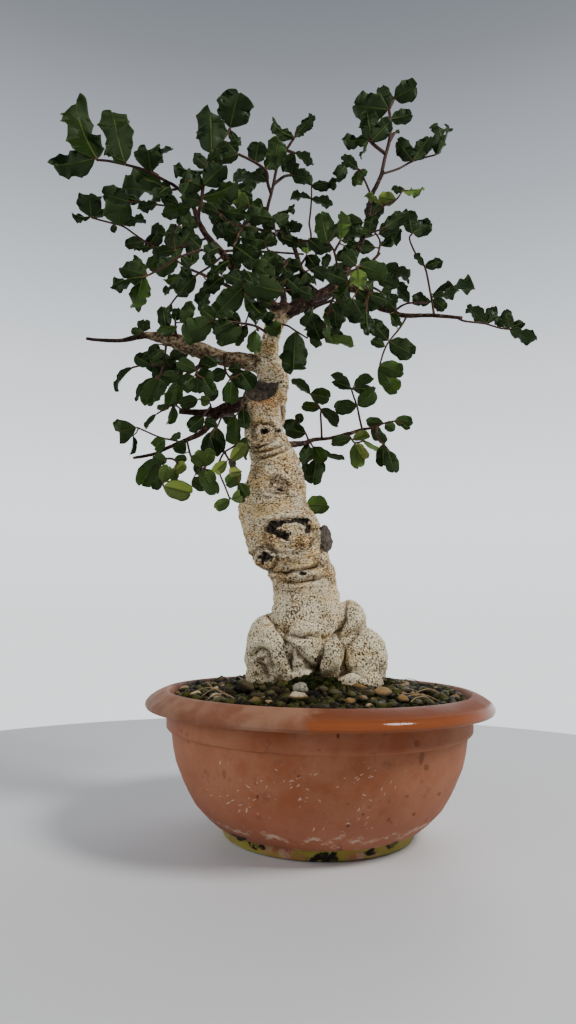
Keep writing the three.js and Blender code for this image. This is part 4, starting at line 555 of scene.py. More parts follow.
# Creases that part the swellings at the trunk's foot, each a line of x and z as seen. Each is cut in and
# darkened with painted shade.
CREASES = (
    ((-46, 173), (-43, 170), (-38, 164), (-34, 158), (-28, 149), (-22, 143), (-12, 133), (-5, 127),
     (-1, 124)),
    ((22, 182), (22.5, 175), (21, 166), (17, 158), (11, 151), (6, 149)),
    ((38, 163), (32, 156), (26, 149), (20, 141), (20, 133), (22, 124), (17, 119)),
    ((4, 149), (3, 141), (0, 133), (-1, 124), (0, 117)),
    ((-1, 122), (6, 118), (13, 119), (19, 125), (30, 124), (38, 121)),
    ((-30, 160), (-25, 154), (-16, 151), (-7, 153), (2, 151)),
    ((-55, 136), (-50, 141), (-44, 139), (-40, 133), (-38, 126)),
    ((-50, 131), (-45, 127), (-40, 120)),
    ((-23, 141), (-22, 132), (-22, 124)),
)

# Wrinkles and folds above them, in the same form, also cut in and darkened with painted shade
FOLDS = (
    ((-61, 304), (-52, 303.5), (-42, 306), (-32, 310), (-24, 314)),
    ((-63, 309), (-50, 309), (-40, 312), (-30, 316.5)),
    ((-60, 314), (-54, 313), (-46, 316), (-38, 320)),
    ((-35.5, 359), (-35, 351), (-33, 344), (-31, 336)),
    ((-58, 212), (-44, 207), (-30, 204.5), (-12, 207), (4, 212), (10, 216)),
    ((-38, 200), (-24, 196), (-10, 198), (8, 202)),
)

# Knots and scars: x and z as seen, then half width, half height, depth of the pit and how dark it is
KNOTS = (
    (-49.5, 327.5, 4.4, 3.4, 5, 1.0), (-37, 328, 2.2, 2.0, 1.6, 0.7), (-36, 323.5, 1.4, 1.4, 1, 0.5),
    (-41.5, 242, 4.8, 5.5, 2.2, 1.0), (-35.5, 246.5, 6, 3.4, 1.2, 0.75), (-28, 248.5, 6, 2.8, 1.0, 0.7),
    (-20, 249.5, 6, 2.6, 1.0, 0.75), (-13.5, 247.5, 3.6, 3.4, 1.2, 0.85),
    (-9.5, 242.5, 3.4, 5.5, 1.8, 0.95), (-30.5, 236.5, 6, 5.4, 4, 1.0), (-36.5, 238.5, 3.6, 3.6, 1.2, 0.7),
    (-46, 217.5, 6, 5, 3, 0.9), (-57, 212, 3.4, 5, 1.2, 0.6), (-52, 205, 6, 2, 1, 0.5),
    (-62, 222, 2, 8, 1, 0.5), (-34.5, 276, 3.4, 2.6, 1.8, 0.75), (-41.5, 281.5, 1.8, 1.6, 1.2, 0.6),
    (-63, 284, 2, 6, 1, 0.5), (-67, 270, 2.2, 6, 1.2, 0.6), (-61, 292, 1.8, 4, 0.8, 0.4),
    (-14, 204.5, 5, 1.5, 1.4, 0.7), (-4, 201, 2, 3.2, 0.8, 0.5), (-62, 312, 3, 5, 1.6, 0.6),
    (-11, 151, 4, 1.8, 1.6, 0.7), (-4, 133.5, 1.6, 2, 1, 0.9), (-47, 133, 5, 2, 1.4, 0.5),
    (27, 142, 2, 5, 1.4, 0.3), (44, 138, 4, 2, 1, 0.3), (1.5, 244, 1.8, 4.5, 1.6, 1.0),
    (2.2, 235, 1.4, 5, 1.2, 0.8), (-50, 120, 5, 3, 1.4, 0.4), (-28, 222, 9, 2.2, 0.9, 0.35),
    (2, 226, 2.6, 7, 0.9, 0.45),
)

# Old scars that healed as a ring: middle as seen, then half width and half height
RING_SCARS = (
    (-37.5, 279.5, 9.5, 7.2), (-38, 280, 5.4, 4), (-49.5, 327, 10, 8.2), (-26, 236, 21, 15.5),
    (-46, 216.5, 11.5, 9.5),
)

# Larger pebbles: x, y, size, tone from 0 dark to 1 pale, and how mossy
PEBBLES = (
    (-55, -58, 8.6, 0.66, 0.1), (-92, -56, 5, 0.97, 0.4), (-108, -20, 4.6, 0.9, 0.3),
    (-13, -60, 7.2, 1.0, 0.0), (-24, -66, 4, 0.45, 1.0), (-14, -90, 7, 0.97, 0.6), (12, -74, 4.8, 0.7, 0.4),
    (46, -68, 7, 0.86, 0.2), (36, -72, 5, 0.5, 0.6), (22, -92, 4.2, 0.85, 0.6), (31, -86, 4.4, 0.78, 0.7),
    (66, -44, 5, 0.7, 0.2), (82, -34, 6, 0.62, 0.4), (-72, -52, 5.4, 0.3, 0.1), (3, -64, 5, 0.68, 0.5),
    (-42, -80, 4.6, 0.6, 0.5), (-74, -76, 4.4, 0.92, 0.3), (60, -78, 5, 0.84, 0.5), (-34, -96, 4, 0.9, 0.3),
    (50, -96, 4, 0.45, 0.8),
)

# Stains on the pot's wall: x, z, half width, half height and how dark each is
POT_STAINS = (
    (66, 86, 1.8, 2.2, 0.5), (70, 75, 2.2, 4.6, 0.5), (73.5, 68, 2, 3, 0.5), (15, 10, 2.4, 8, 0.45),
    (13, 93.5, 1, 2.4, 0.9), (66, 35, 1.6, 1.6, 0.6), (50, 32, 1.2, 1.2, 0.5), (20, 32, 1.4, 1.2, 0.6),
    (60, 50, 1.4, 1, 0.4), (1, 84, 1.2, 1, 0.35), (-40, 50, 1.2, 1.2, 0.7), (30, 40, 1, 1, 0.6),
    (-12, 66, 1.4, 1.2, 0.5), (48, 34, 1.2, 1.4, 0.5), (86, 46, 1.6, 1.6, 0.5), (-64, 62, 1.6, 3.4, 0.35),
)

# Black marks round the pot's foot: x, z, half width and half height
FOOT_SOOT = ((-57, 11, 8, 5), (-44, 6, 6, 3), (8, 4, 9, 4), (-4, 2, 5, 3), (54, 9, 5, 4), (38, 5, 6, 3))

# Half width of a leaflet along its length
LEAF_OUTLINE = (
    (0, 0.08), (0.05, 0.31), (0.12, 0.56), (0.26, 0.85), (0.43, 0.99), (0.6, 1.0), (0.76, 0.93),
    (0.88, 0.77), (0.95, 0.54), (1.0, 0.16),
)

# Swellings of the trunk's foot: middle, then half sizes
LOBES = (
    (-40.5, -8, 140, 20, 22, 31), (33.5, -6, 134, 22.5, 25, 27), (25, -4, 164, 14, 17, 19),
    (-11.5, -33, 146, 13.5, 11, 19), (8.5, -33, 138.5, 10.5, 10.5, 14), (27, -22, 116, 24, 17, 14),
    (-42, -16, 119, 17, 17, 15), (-15, 28, 130, 30, 16, 34), (15, 26, 125, 26, 16, 28),
    (40, 14, 120, 16, 18, 20),
)

# The column of the trunk where it runs down between the swellings: z, left, right, depth over width
FOOT_RINGS = (
    (100, -34, 22, 1.1), (117, -34, 22, 1.1), (130, -34, 22, 1.1), (142, -35, 21, 1.1), (152, -36, 20, 1.1),
    (161, -38, 19, 1.05), (170, -39.5, 18.5, 0.98),
)

# The root that crosses the front from the left swelling to the middle: x, y, z and radius
CROSSING_ROOT = (
    (-44, -14, 158, 11), (-36, -22, 146, 13), (-26, -28, 133, 12.5), (-14, -31, 120, 11), (-6, -30, 108, 9),
)

# Saw cuts: a point on the cut, the way it faces, and how far round it the wood is bare
STUB_CUT = ((-52, -14, 357), (-0.04, -0.76, 0.65), 25)
KNOB_CUT = ((6.3, -8, 233.5), (0.89, -0.45, 0.06), 12.5)

# Thin roots on the soil that the front shows: start x and y, end x and y, and rise
SURFACE_ROOTS = (
    (-66, -70, -96, -46, 4), (-70, -60, -88, -68, 3), (-60, -76, -82, -80, 2.5), (60, -62, 84, -70, 3.5),
    (70, -50, 96, -52, 4), (58, -72, 92, -60, 3), (64, -80, 80, -64, 2.5),
)

# Leaflets that fill the crown between the sprays, in the same form as the rows of a spray
FILLING = (
    (-94, 530, -78, 503, 11, 0), (-80, 501, -55, 482, 20, 0), (-86, 493, -74, 476, 10, 0),
    (-88, 471, -106, 456, 12, 0), (-100, 463, -108, 438, 12, 0), (-68, 453, -50, 432, 13, 0),
    (-80, 428, -98, 420, 12, 0), (-118, 403, -134, 395, 12, 0), (-140, 402, -154, 393, 10, 0),
    (-104, 397, -90, 387, 11, 0), (-148, 388, -140, 372, 12, 0), (-12, 507, 3, 493, 12, 0),
    (-24, 506, -8, 496, 9, 0), (6, 504, 14, 521, 8, 1), (2, 479, 6, 493, 8, 0), (30, 459, 52, 440, 16, 0),
    (28, 449, 40, 428, 14, 0), (44, 453, 61, 446, 10, 0), (20, 447, 31, 430, 12, 0),
    (40, 437, 43, 415, 12, 0), (12, 437, 14, 419, 10, 0), (-8, 441, -16, 421, 11, 0),
    (-10, 317, -17, 299, 9, 0), (-14, 301, -10, 284, 9, 0), (26, 368, 9, 378, 9, 1),
    (29, 369, 46, 377, 9, 1), (46, 333, 51, 319, 10, 0), (-84, 486, -99, 474, 9, 0),
    (-82, 565, -70, 576, 10, 0), (-124, 566, -132, 551, 8, 0), (-140, 559, -153, 549, 8, 0),
    (32, 576, 18, 589, 9, 0), (-64, 322, -68, 303, 10, 0), (-96, 327, -102, 309, 9, 0),
    (-66, 540, -52, 527, 12, 0), (-36, 508, -20, 502, 10, 0), (-60, 506, -74, 510, 12, 0),
    (-48, 488, -36, 472, 14, 0), (-70, 478, -60, 462, 13, 0), (-90, 448, -74, 440, 14, 0),
    (-44, 444, -58, 452, 12, 0), (10, 470, 24, 480, 13, 0), (50, 470, 70, 462, 12, 0),
    (-118, 470, -128, 480, 10, 0), (-110, 500, -122, 512, 12, 0), (-128, 520, -112, 528, 12, 0),
    (-104, 376, -94, 360, 13, 0), (-122, 384, -136, 378, 12, 0), (-96, 536, -88, 520, 13, 0),
    (-90, 520, -80, 506, 13, 0), (-64, 443, -54, 430, 13, 0), (-54, 436, -42, 428, 12, 0),
    (22, 442, 34, 428, 13, 0), (36, 430, 48, 420, 12, 0), (4, 420, 20, 412, 11, 0),
    (-146, 408, -152, 394, 11, 0), (-98, 524, -88, 508, 13, 0), (-82, 522, -94, 512, 11, 0),
    (-148, 396, -140, 380, 11, 0), (-84, 350, -78, 334, 12, 0), (-68, 348, -66, 330, 11, 0),
    (-134, 300, -146, 306, 10, 1), (-118, 308, -126, 318, 12, 1), (-110, 286, -100, 276, 11, 1),
    (-96, 322, -90, 304, 12, 0), (-70, 282, -62, 270, 10, 1), (-122, 284, -132, 276, 10, 1),
    (-8, 478, 6, 470, 12, 0), (-50, 470, -40, 456, 14, 0), (-66, 466, -80, 458, 13, 0),
    (-92, 500, -106, 494, 13, 0), (-72, 524, -60, 514, 13, 0), (-30, 530, -44, 522, 12, 0),
    (-46, 516, -56, 500, 13, 0), (20, 500, 30, 488, 12, 0), (34, 480, 46, 472, 12, 0),
    (-20, 458, -6, 452, 12, 0), (-86, 366, -74, 356, 12, 0), (-70, 380, -60, 366, 13, 0),
    (-30, 468, -18, 458, 12, 0), (-96, 548, -84, 536, 11, 0),
)

# Lamps: name, place, aim, size across, power and colour
LIGHTS = (
    ("window_key", (1.25, -0.65, 1.55), (0, 0, 0.3), 0.55, 33, (1.0, 0.985, 0.955)),
    ("window_left", (-1.2, -1.0, 0.9), (0, 0, 0.3), 1.2, 13, (0.95, 0.97, 1.0)),
    ("back_fill", (0.5, 1.4, 1.2), (0, 0, 0.35), 1.2, 8, (0.95, 0.97, 1.0)),
)

# Brightness of the room by height, from level to straight up
ROOM_TONES = (
    (0.0, 0.9), (0.12, 1.0), (0.32, 0.74), (0.45, 0.5), (0.53, 0.37), (0.6, 0.28), (0.66, 0.2),
    (0.72, 0.16),
)

# How the room brightens from the viewer's side to the far side: start, end, least and full level
ROOM_BEHIND = (-0.3, 0.8, 0.16, 1.0)

# The camera of the photograph: focal length and height of the frame in pixels, spot, and turns in degrees
CAMERA_FOCAL = 700
CAMERA_FRAME = 1024
CAMERA_SPOT = (0.9, -592.3, 171.4)
CAMERA_PITCH = 8.19
CAMERA_YAW = -2.72
CAMERA_ROLL = 0.77

# Spots on the soil: radius of the grit, of the moss, and of what stays clear of the rim
GRIT_REACH = 119
MOSS_REACH = 118
SOIL_EDGE = 116

# A mound of moss at the trunk's foot: cushions, middle x, half width, front y, run forward, and height
MOUND = (110, -3, 22, -43, 13, 12.5)

# Points that one part holds before the next is begun, which keeps its work quick
PART_LIMIT = 1500


def random_source(seed):
    """Seeded random numbers, the same stream as the solids were laid out with."""
    state = seed & 0xFFFFFFFF

    def draw():
        nonlocal state
        state = (state + 0x6D2B79F5) & 0xFFFFFFFF
        mixed = ((state ^ (state >> 15)) * (state | 1)) & 0xFFFFFFFF
        other = ((mixed ^ (mixed >> 7)) * (mixed | 61)) & 0xFFFFFFFF
        mixed = ((mixed + other) & 0xFFFFFFFF) ^ mixed
        return (mixed ^ (mixed >> 14)) / 4294967296

    return draw


def deepen(y):
    """Spreads a drawn depth so that the crown is rounder."""
    return DEPTH_REACH * math.tanh(DEPTH_SPREAD * y / DEPTH_REACH)


def stretch_at(y):
    """How much larger a thing has to be at depth y to look as large as on the middle plane."""
    return 1 + y / EYE_AWAY


def seen(x, z, y):
    """A point seen at x, z on the middle plane, moved to depth y along its line of sight."""
    stretch = stretch_at(y)
    return Vector((x * stretch, y, EYE[2] + (z - EYE[2]) * stretch))


def as_seen(point):
    """Where a point in space is seen on the middle plane."""
    stretch = stretch_at(point.y)
    return point.x / stretch, EYE[2] + (point.z - EYE[2]) / stretch


def mix(low, high, share):
    return low + (high - low) * share


def smooth_step(low, high, value):
    share = min(1.0, max(0.0, (value - low) / (high - low)))
    return share * share * (3 - 2 * share)


def bell(away, width):
    """1 in the middle, falling away to nothing over a few widths."""
    return math.exp(-(away / width) ** 2)


def rounded(a, b, c, d, t):
    """The share t of the way from b to c, on a round line that comes from a and goes on to d."""
    return 0.5 * (
        2 * b + (c - a) * t + (2 * a - 5 * b + 4 * c - d) * t * t + (3 * b - a - 3 * c + d) * t ** 3
    )


# Layout of the leaflets, by the same rule as the solids

ROOT_FROM_BEND = 1.4
ROOT_FROM_LIMB = 6
LEAF_SPACING = 4.2
SHIFTS = (0, 4, -4, 8, -8, 12, -12, 16, -16, 21, -21, 26, -26)
BLADE_OUTLINE = (
    (0, 0.12), (0.14, 0.46), (0.3, 0.78), (0.48, 0.96), (0.66, 1), (0.82, 0.94), (1, 0.56),
)


def nearest_on_twigs(twigs, x, z):
    """The spot on a spray's twigs that is seen nearest to x, z."""
    best = None
    for order, twig in enumerate(twigs):
        for i in range(len(twig) - 1):
            (x0, z0, y0), (x1, z1, y1) = twig[i], twig[i + 1]
            run = math.sqrt((x1 - x0) ** 2 + (z1 - z0) ** 2 + (y1 - y0) ** 2)
            clear = min(0.45, ROOT_FROM_BEND / run)
            first = min(0.8, ROOT_FROM_LIMB / run) if order == 0 and i == 0 else clear
            flat = (x1 - x0) ** 2 + (z1 - z0) ** 2
            along = ((x - x0) * (x1 - x0) + (z - z0) * (z1 - z0)) / flat
            t = max(first, min(1 - clear, along))
            spot = (x0 + (x1 - x0) * t, z0 + (z1 - z0) * t, y0 + (y1 - y0) * t)
            away = math.hypot(spot[0] - x, spot[1] - z)
            if best is None or away < best[1] - 1e-6:
                best = (spot, away)
    return best[0]


def lay_leaflet(twigs, row, draws, shift):
    """A leaflet with its place, turn and size in space, moved back by a shift along its line of sight."""
    bx, bz, tx, tz, seen_width = row[:5]
    root = nearest_on_twigs(twigs, bx, bz)
    seen_length = math.hypot(tx - bx, tz - bz)
    wanted = max(seen_length, seen_width / 0.74)
    lean = math.sqrt(max(0, wanted * wanted - seen_length * seen_length))
    base = seen(bx, bz, root[2] + shift * 0.5)
    tip = seen(tx, tz, root[2] + shift + (-lean if draws[0] < 0.5 else lean))
    length = (tip - base).length
    along = (tip - base) / length
    sight = ((base + tip) * 0.5 - Vector(EYE)).normalized()
    flat_across = along.cross(sight).normalized()
    up = flat_across.cross(along)
    apparent = seen_width * stretch_at(root[2])
    width = max(apparent, 0.56 * length)
    turn = math.acos(min(1, apparent / width)) * (-1 if draws[1] < 0.5 else 1)
    across = flat_across * math.cos(turn) + up * math.sin(turn)
    return {
        "root": seen(*root), "base": base, "along": along, "across": across, "normal": across.cross(along),
        "length": length, "wanted": wanted, "width": width, "phase": draws[2] * 2 * math.pi,
        "arch": -1 if draws[3] < 0.5 else 1, "shade": row[5],
    }


def outline_at(s):
    for (s0, w0), (s1, w1) in zip(BLADE_OUTLINE, BLADE_OUTLINE[1:]):
        if s <= s1:
            break
    return mix(w0, w1, (s - s0) / (s1 - s0))


def solid_blade_point(leaflet, s, u):
    """A point of the blade as the solids have it."""
    edge = abs(u)
    side = (u > 0) - (u < 0)
    free = 0 if s < 0.42 else 1
    ripple = 1 + 0.1 * math.sin(15 * s + leaflet["phase"] + side * free)
    half = leaflet["width"] / 2 * outline_at(s) * ripple
    length = leaflet["length"]
    end = -length * (0.06 - 0.06 * edge + 0.035 * (1 + side * leaflet["arch"])) if s == 1 else 0
    wave = 0.2 * half * math.sin(9.5 * s + leaflet["phase"] + 1.9 * side) * edge * free
    lift = leaflet["arch"] * 0.3 * length * s * (1 - s) + 0.2 * half * edge + wave
    return (
        leaflet["base"] + leaflet["along"] * (length * s + end)
        + leaflet["across"] * (u * half) + leaflet["normal"] * lift
    )


def strand_spots(rows, radii):
    """Spots with a radius along a drawn line, close enough to stand for it."""
    spots = []
    for i in range(len(rows) - 1):
        run = math.sqrt(sum((rows[i + 1][k] - rows[i][k]) ** 2 for k in range(3)))
        pieces = max(1, math.ceil(run / 5))
        for j in range(pieces + 1):
            at = [rows[i][k] + (rows[i + 1][k] - rows[i][k]) * j / pieces for k in range(3)]
            spots.append((*seen(*at), radii[i] + (radii[i + 1] - radii[i]) * j / pieces))
    return spots


def spread_limbs():
    """The limbs with their depths spread, apart from the trunk's own top."""
    return [
        (name, [(x, z, y if name == "live top" else deepen(y), r) for x, z, y, r in rows])
        for name, rows in LIMBS
    ]


def wood_spots():
    spots = [((left + right) / 2, 0, z, (right - left) / 2 * flat) for z, left, right, flat in TRUNK_RINGS]
    for _, rows in spread_limbs():
        spots += strand_spots([row[:3] for row in rows], [row[3] for row in rows])
    return spots


def blade_spots(leaflet):
    return [
        (*solid_blade_point(leaflet, s, u), 0)
        for s in (0.25, 0.4, 0.55, 0.7, 0.85, 1) for u in (-1, -0.35, 0.35, 1)
    ]


def clearance(spots, others):
    """The smallest gap between spots and others, less the others' radii."""
    if not len(others):
        return math.inf
    spots = np.array(spots)
    gaps = np.linalg.norm(spots[:, None, :3] - others[None, :, :3], axis=2) - others[None, :, 3]
    return float(gaps.min())


def place_leaflet(twigs, row, draws, others, mine, own_twigs):
    """Moves a leaflet along its line of sight until it is clear of what is there."""
    best = None
    for shift in SHIFTS:
        for flip in (False, True):
            turned = [1 - draws[0], *draws[1:]] if flip else draws
            leaflet = lay_leaflet(twigs, row, turned, shift)
            spots = blade_spots(leaflet)
            near = [spot for spot in own_twigs if (Vector(spot[:3]) - leaflet["root"]).length > 5]
            gap = min(clearance(spots, others), 1.4 * clearance(spots, np.array([*mine, *near])))
            score = min(gap, LEAF_SPACING) - 0.06 * (leaflet["length"] - leaflet["wanted"])
            if best is None or score > best[2] + 0.2:
                best = (leaflet, spots, score)
        if best[2] > LEAF_SPACING - 0.3:
            break
    return best[0], best[1]


def back_spray_rows(twig, pairs, draw):
    """Leaflets in pairs along a twig behind the crown, turned by seeded draws."""
    rows = []
    heading = math.atan2(twig[-1][1] - twig[0][1], twig[-1][0] - twig[0][0])
    for i in range(pairs):
        at = (0.25 + 0.75 * i / (pairs - 1)) * (len(twig) - 1)
        before = min(len(twig) - 2, math.floor(at))
        x, z = (twig[before][k] + (twig[before + 1][k] - twig[before][k]) * (at - before) for k in (0, 1))
        for side in (-1, 1):
            angle = heading + side * (0.7 + 0.7 * draw())
            length = 20 + 8 * draw()
            width = 8 + 9 * draw()
            shade = 0 if draw() < 0.6 else 1
            rows.append((
                x + 3 * math.cos(angle), z + 3 * math.sin(angle),
                x + (3 + length) * math.cos(angle), z + (3 + length) * math.sin(angle), width, shade,
            ))
    return rows


def lay_sprays():
    """Every spray with its leaflets in place: those of the solids first, then the small extra ones."""
    draw = random_source(SEED)
    backs = [
        (name, 1.1, (twig,), back_spray_rows(twig, pairs, draw), ()) for name, twig, pairs in BACK_SPRAYS
    ]
    drawn = [
        (name, radius, [[(x, z, deepen(y)) for x, z, y in twig] for twig in twigs], rows, extra)
        for name, radius, twigs, rows, extra in [*SPRAYS, *backs]
    ]
    wood = wood_spots()
    twig_spots = [
        [spot for twig in twigs for spot in strand_spots(twig, [radius] * len(twig))[1:]]
        for name, radius, twigs, rows, extra in drawn
    ]
    leaf_spots = []
    sprays = []
    for own, (name, radius, twigs, rows, extra) in enumerate(drawn):
        twigs = [
            [nearest_on_twigs(twigs[:i], twig[0][0], twig[0][1]), *twig[1:]] if i else twig
            for i, twig in enumerate(twigs)
        ]
        others = np.array([
            *wood, *(s for i, spots in enumerate(twig_spots) if i != own for s in spots),
            *(s for spots in leaf_spots for s in spots),
        ])
        mine = []
        leaflets = []
        for row in rows:
            draws = [draw() for _ in range(4)]
            leaflet, spots = place_leaflet(twigs, row, draws, others, mine, twig_spots[own])
            mine += spots
            leaflets.append(leaflet)
        leaf_spots.append(mine)
        sprays.append({
            "name": name, "radius": radius, "twigs": twigs, "leaflets": leaflets, "extra": extra,
        })
    draw = random_source(SEED + 7)
    everything = np.array([*wood, *(s for spots in [*twig_spots, *leaf_spots] for s in spots)])
    for spray in sprays:
        mine = []
        for row in spray["extra"]:
            draws = [draw() for _ in range(4)]
            leaflet, spots = place_leaflet(spray["twigs"], row, draws, everything, mine, [])
            mine += spots
            spray["leaflets"].append(leaflet)
    filled = []
    for row in FILLING:
        def reach(spray):
            spot = nearest_on_twigs(spray["twigs"], row[0], row[1])
            return math.hypot(spot[0] - row[0], spot[1] - row[1])

        spray = min(sprays, key=reach)
        draws = [draw() for _ in range(4)]
        leaflet, spots = place_leaflet(spray["twigs"], row, draws, everything, filled, [])
        filled += spots
        spray["leaflets"].append(leaflet)
    return sprays


# Mesh helpers

def carried_frames(points):
    """A tangent and a normal at each point, the normal carried along without twisting."""
    frames = []
    last = len(points) - 1
    normal = None
    for i in range(len(points)):
        tangent = (points[min(last, i + 1)] - points[max(0, i - 1)]).normalized()
        if normal is None:
            normal = Vector((0, 0, 1)) if abs(tangent.z) < 0.8 else Vector((1, 0, 0))
        normal = (normal - tangent * normal.dot(tangent)).normalized()
        frames.append((tangent, normal))
    return frames


def smooth_line(points, radii, per_step):
    """A rounded line through the points, with the radius carried along."""
    line, widths = [], []
    count = len(points)
    for i in range(count - 1):
        p0, p1, p2, p3 = (points[min(count - 1, max(0, i + k))] for k in (-1, 0, 1, 2))
        for j in range(per_step):
            line.append(rounded(p0, p1, p2, p3, j / per_step))
            widths.append(mix(radii[i], radii[i + 1], j / per_step))
    return line + [points[-1].copy()], widths + [radii[-1]]


def grow_ring(bm, edges):
    """Extrudes a ring of edges in place. Returns the new ring's vertices and edges."""
    grown = bmesh.ops.extrude_edge_only(bm, edges=edges)["geom"]
    ring = [item for item in grown if isinstance(item, bmesh.types.BMVert)]
    held = set(ring)
    edges = [
        item for item in grown
        if isinstance(item, bmesh.types.BMEdge) and all(vert in held for vert in item.verts)
    ]
    return ring, edges


def add_strand(bm, points, radii, sides):
    """A tapered round strand: a circle extruded from point to point. Returns its vertices, ring by ring."""
    frames = carried_frames(points)

    def basis(i):
        tangent, normal = frames[i]
        turn = Matrix((normal, tangent.cross(normal), tangent)).transposed().to_4x4()
        return Matrix.Translation(points[i]) @ turn @ Matrix.Scale(radii[i], 4)

    ring = bmesh.ops.create_circle(bm, cap_ends=True, radius=1, segments=sides)["verts"]
    edges = list({edge for vert in ring for edge in vert.link_edges})
    edges = [edge for edge in edges if all(vert in ring for vert in edge.verts)]
    bmesh.ops.transform(bm, matrix=basis(0), verts=ring)
    rings = [ring]
    for i in range(1, len(points)):
        ring, edges = grow_ring(bm, edges)
        bmesh.ops.transform(bm, matrix=basis(i) @ basis(i - 1).inverted(), verts=ring)
        rings.append(ring)
    bmesh.ops.contextual_create(bm, geom=edges)
    return rings


def scale_all(bm, factor):
    bmesh.ops.scale(bm, vec=(factor, factor, factor), verts=bm.verts)


def smooth_faces(bm):
    for face in bm.faces:
        face.smooth = True


def written_mesh(bm, name):
    """A mesh of this name from a bmesh, which is freed."""
    mesh = bpy.data.meshes.new(name)
    bm.to_mesh(mesh)
    bm.free()
    return mesh


def add_object(name, data):
    made = bpy.data.objects.new(name, data)
    bpy.context.scene.collection.objects.link(made)
    return made


def finish_piece(bm, name, materials, replaced, recalculate=True):
    if recalculate:
        bmesh.ops.recalc_face_normals(bm, faces=bm.faces)
    scale_all(bm, MM)
    smooth_faces(bm)
    mesh = written_mesh(bm, name)
    piece = add_object(name, mesh)
    for material in materials:
        mesh.materials.append(material)
    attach(piece, "root")
    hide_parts(*replaced)
    return piece


def merge_parts(parts):
    """One bmesh from several finished small ones."""
    whole = bmesh.new()
    for part in parts:
        mesh = written_mesh(part, "part")
        whole.from_mesh(mesh)
        bpy.data.meshes.remove(mesh)
    return whole


def next_part(parts, bm):
    """Sets a part aside once it is full, and begins the next."""
    if len(bm.verts) <= PART_LIMIT:
        return bm
    parts.append(bm)
    return bmesh.new()


def turned_profile(points, steps):
    """A bmesh turned round the pot's axis from a profile of radius and height."""
    bm = bmesh.new()
    outline = [bm.verts.new((radius, 0, z)) for radius, z in points]
    edges = [bm.edges.new(pair) for pair in zip(outline, outline[1:])]
    bmesh.ops.spin(
        bm, geom=outline + edges, cent=(0, 0, 0), axis=(0, 0, 1), angle=2 * math.pi, steps=steps,
        use_merge=True,
    )
    bmesh.ops.remove_doubles(bm, verts=bm.verts, dist=0.01)
    return bm


def color_layer(bm, name):
    """The bmesh's layer of this name. A new one has to be added before any vertex is held."""
    return bm.verts.layers.float_color.get(name) or bm.verts.layers.float_color.new(name)


# Finishes

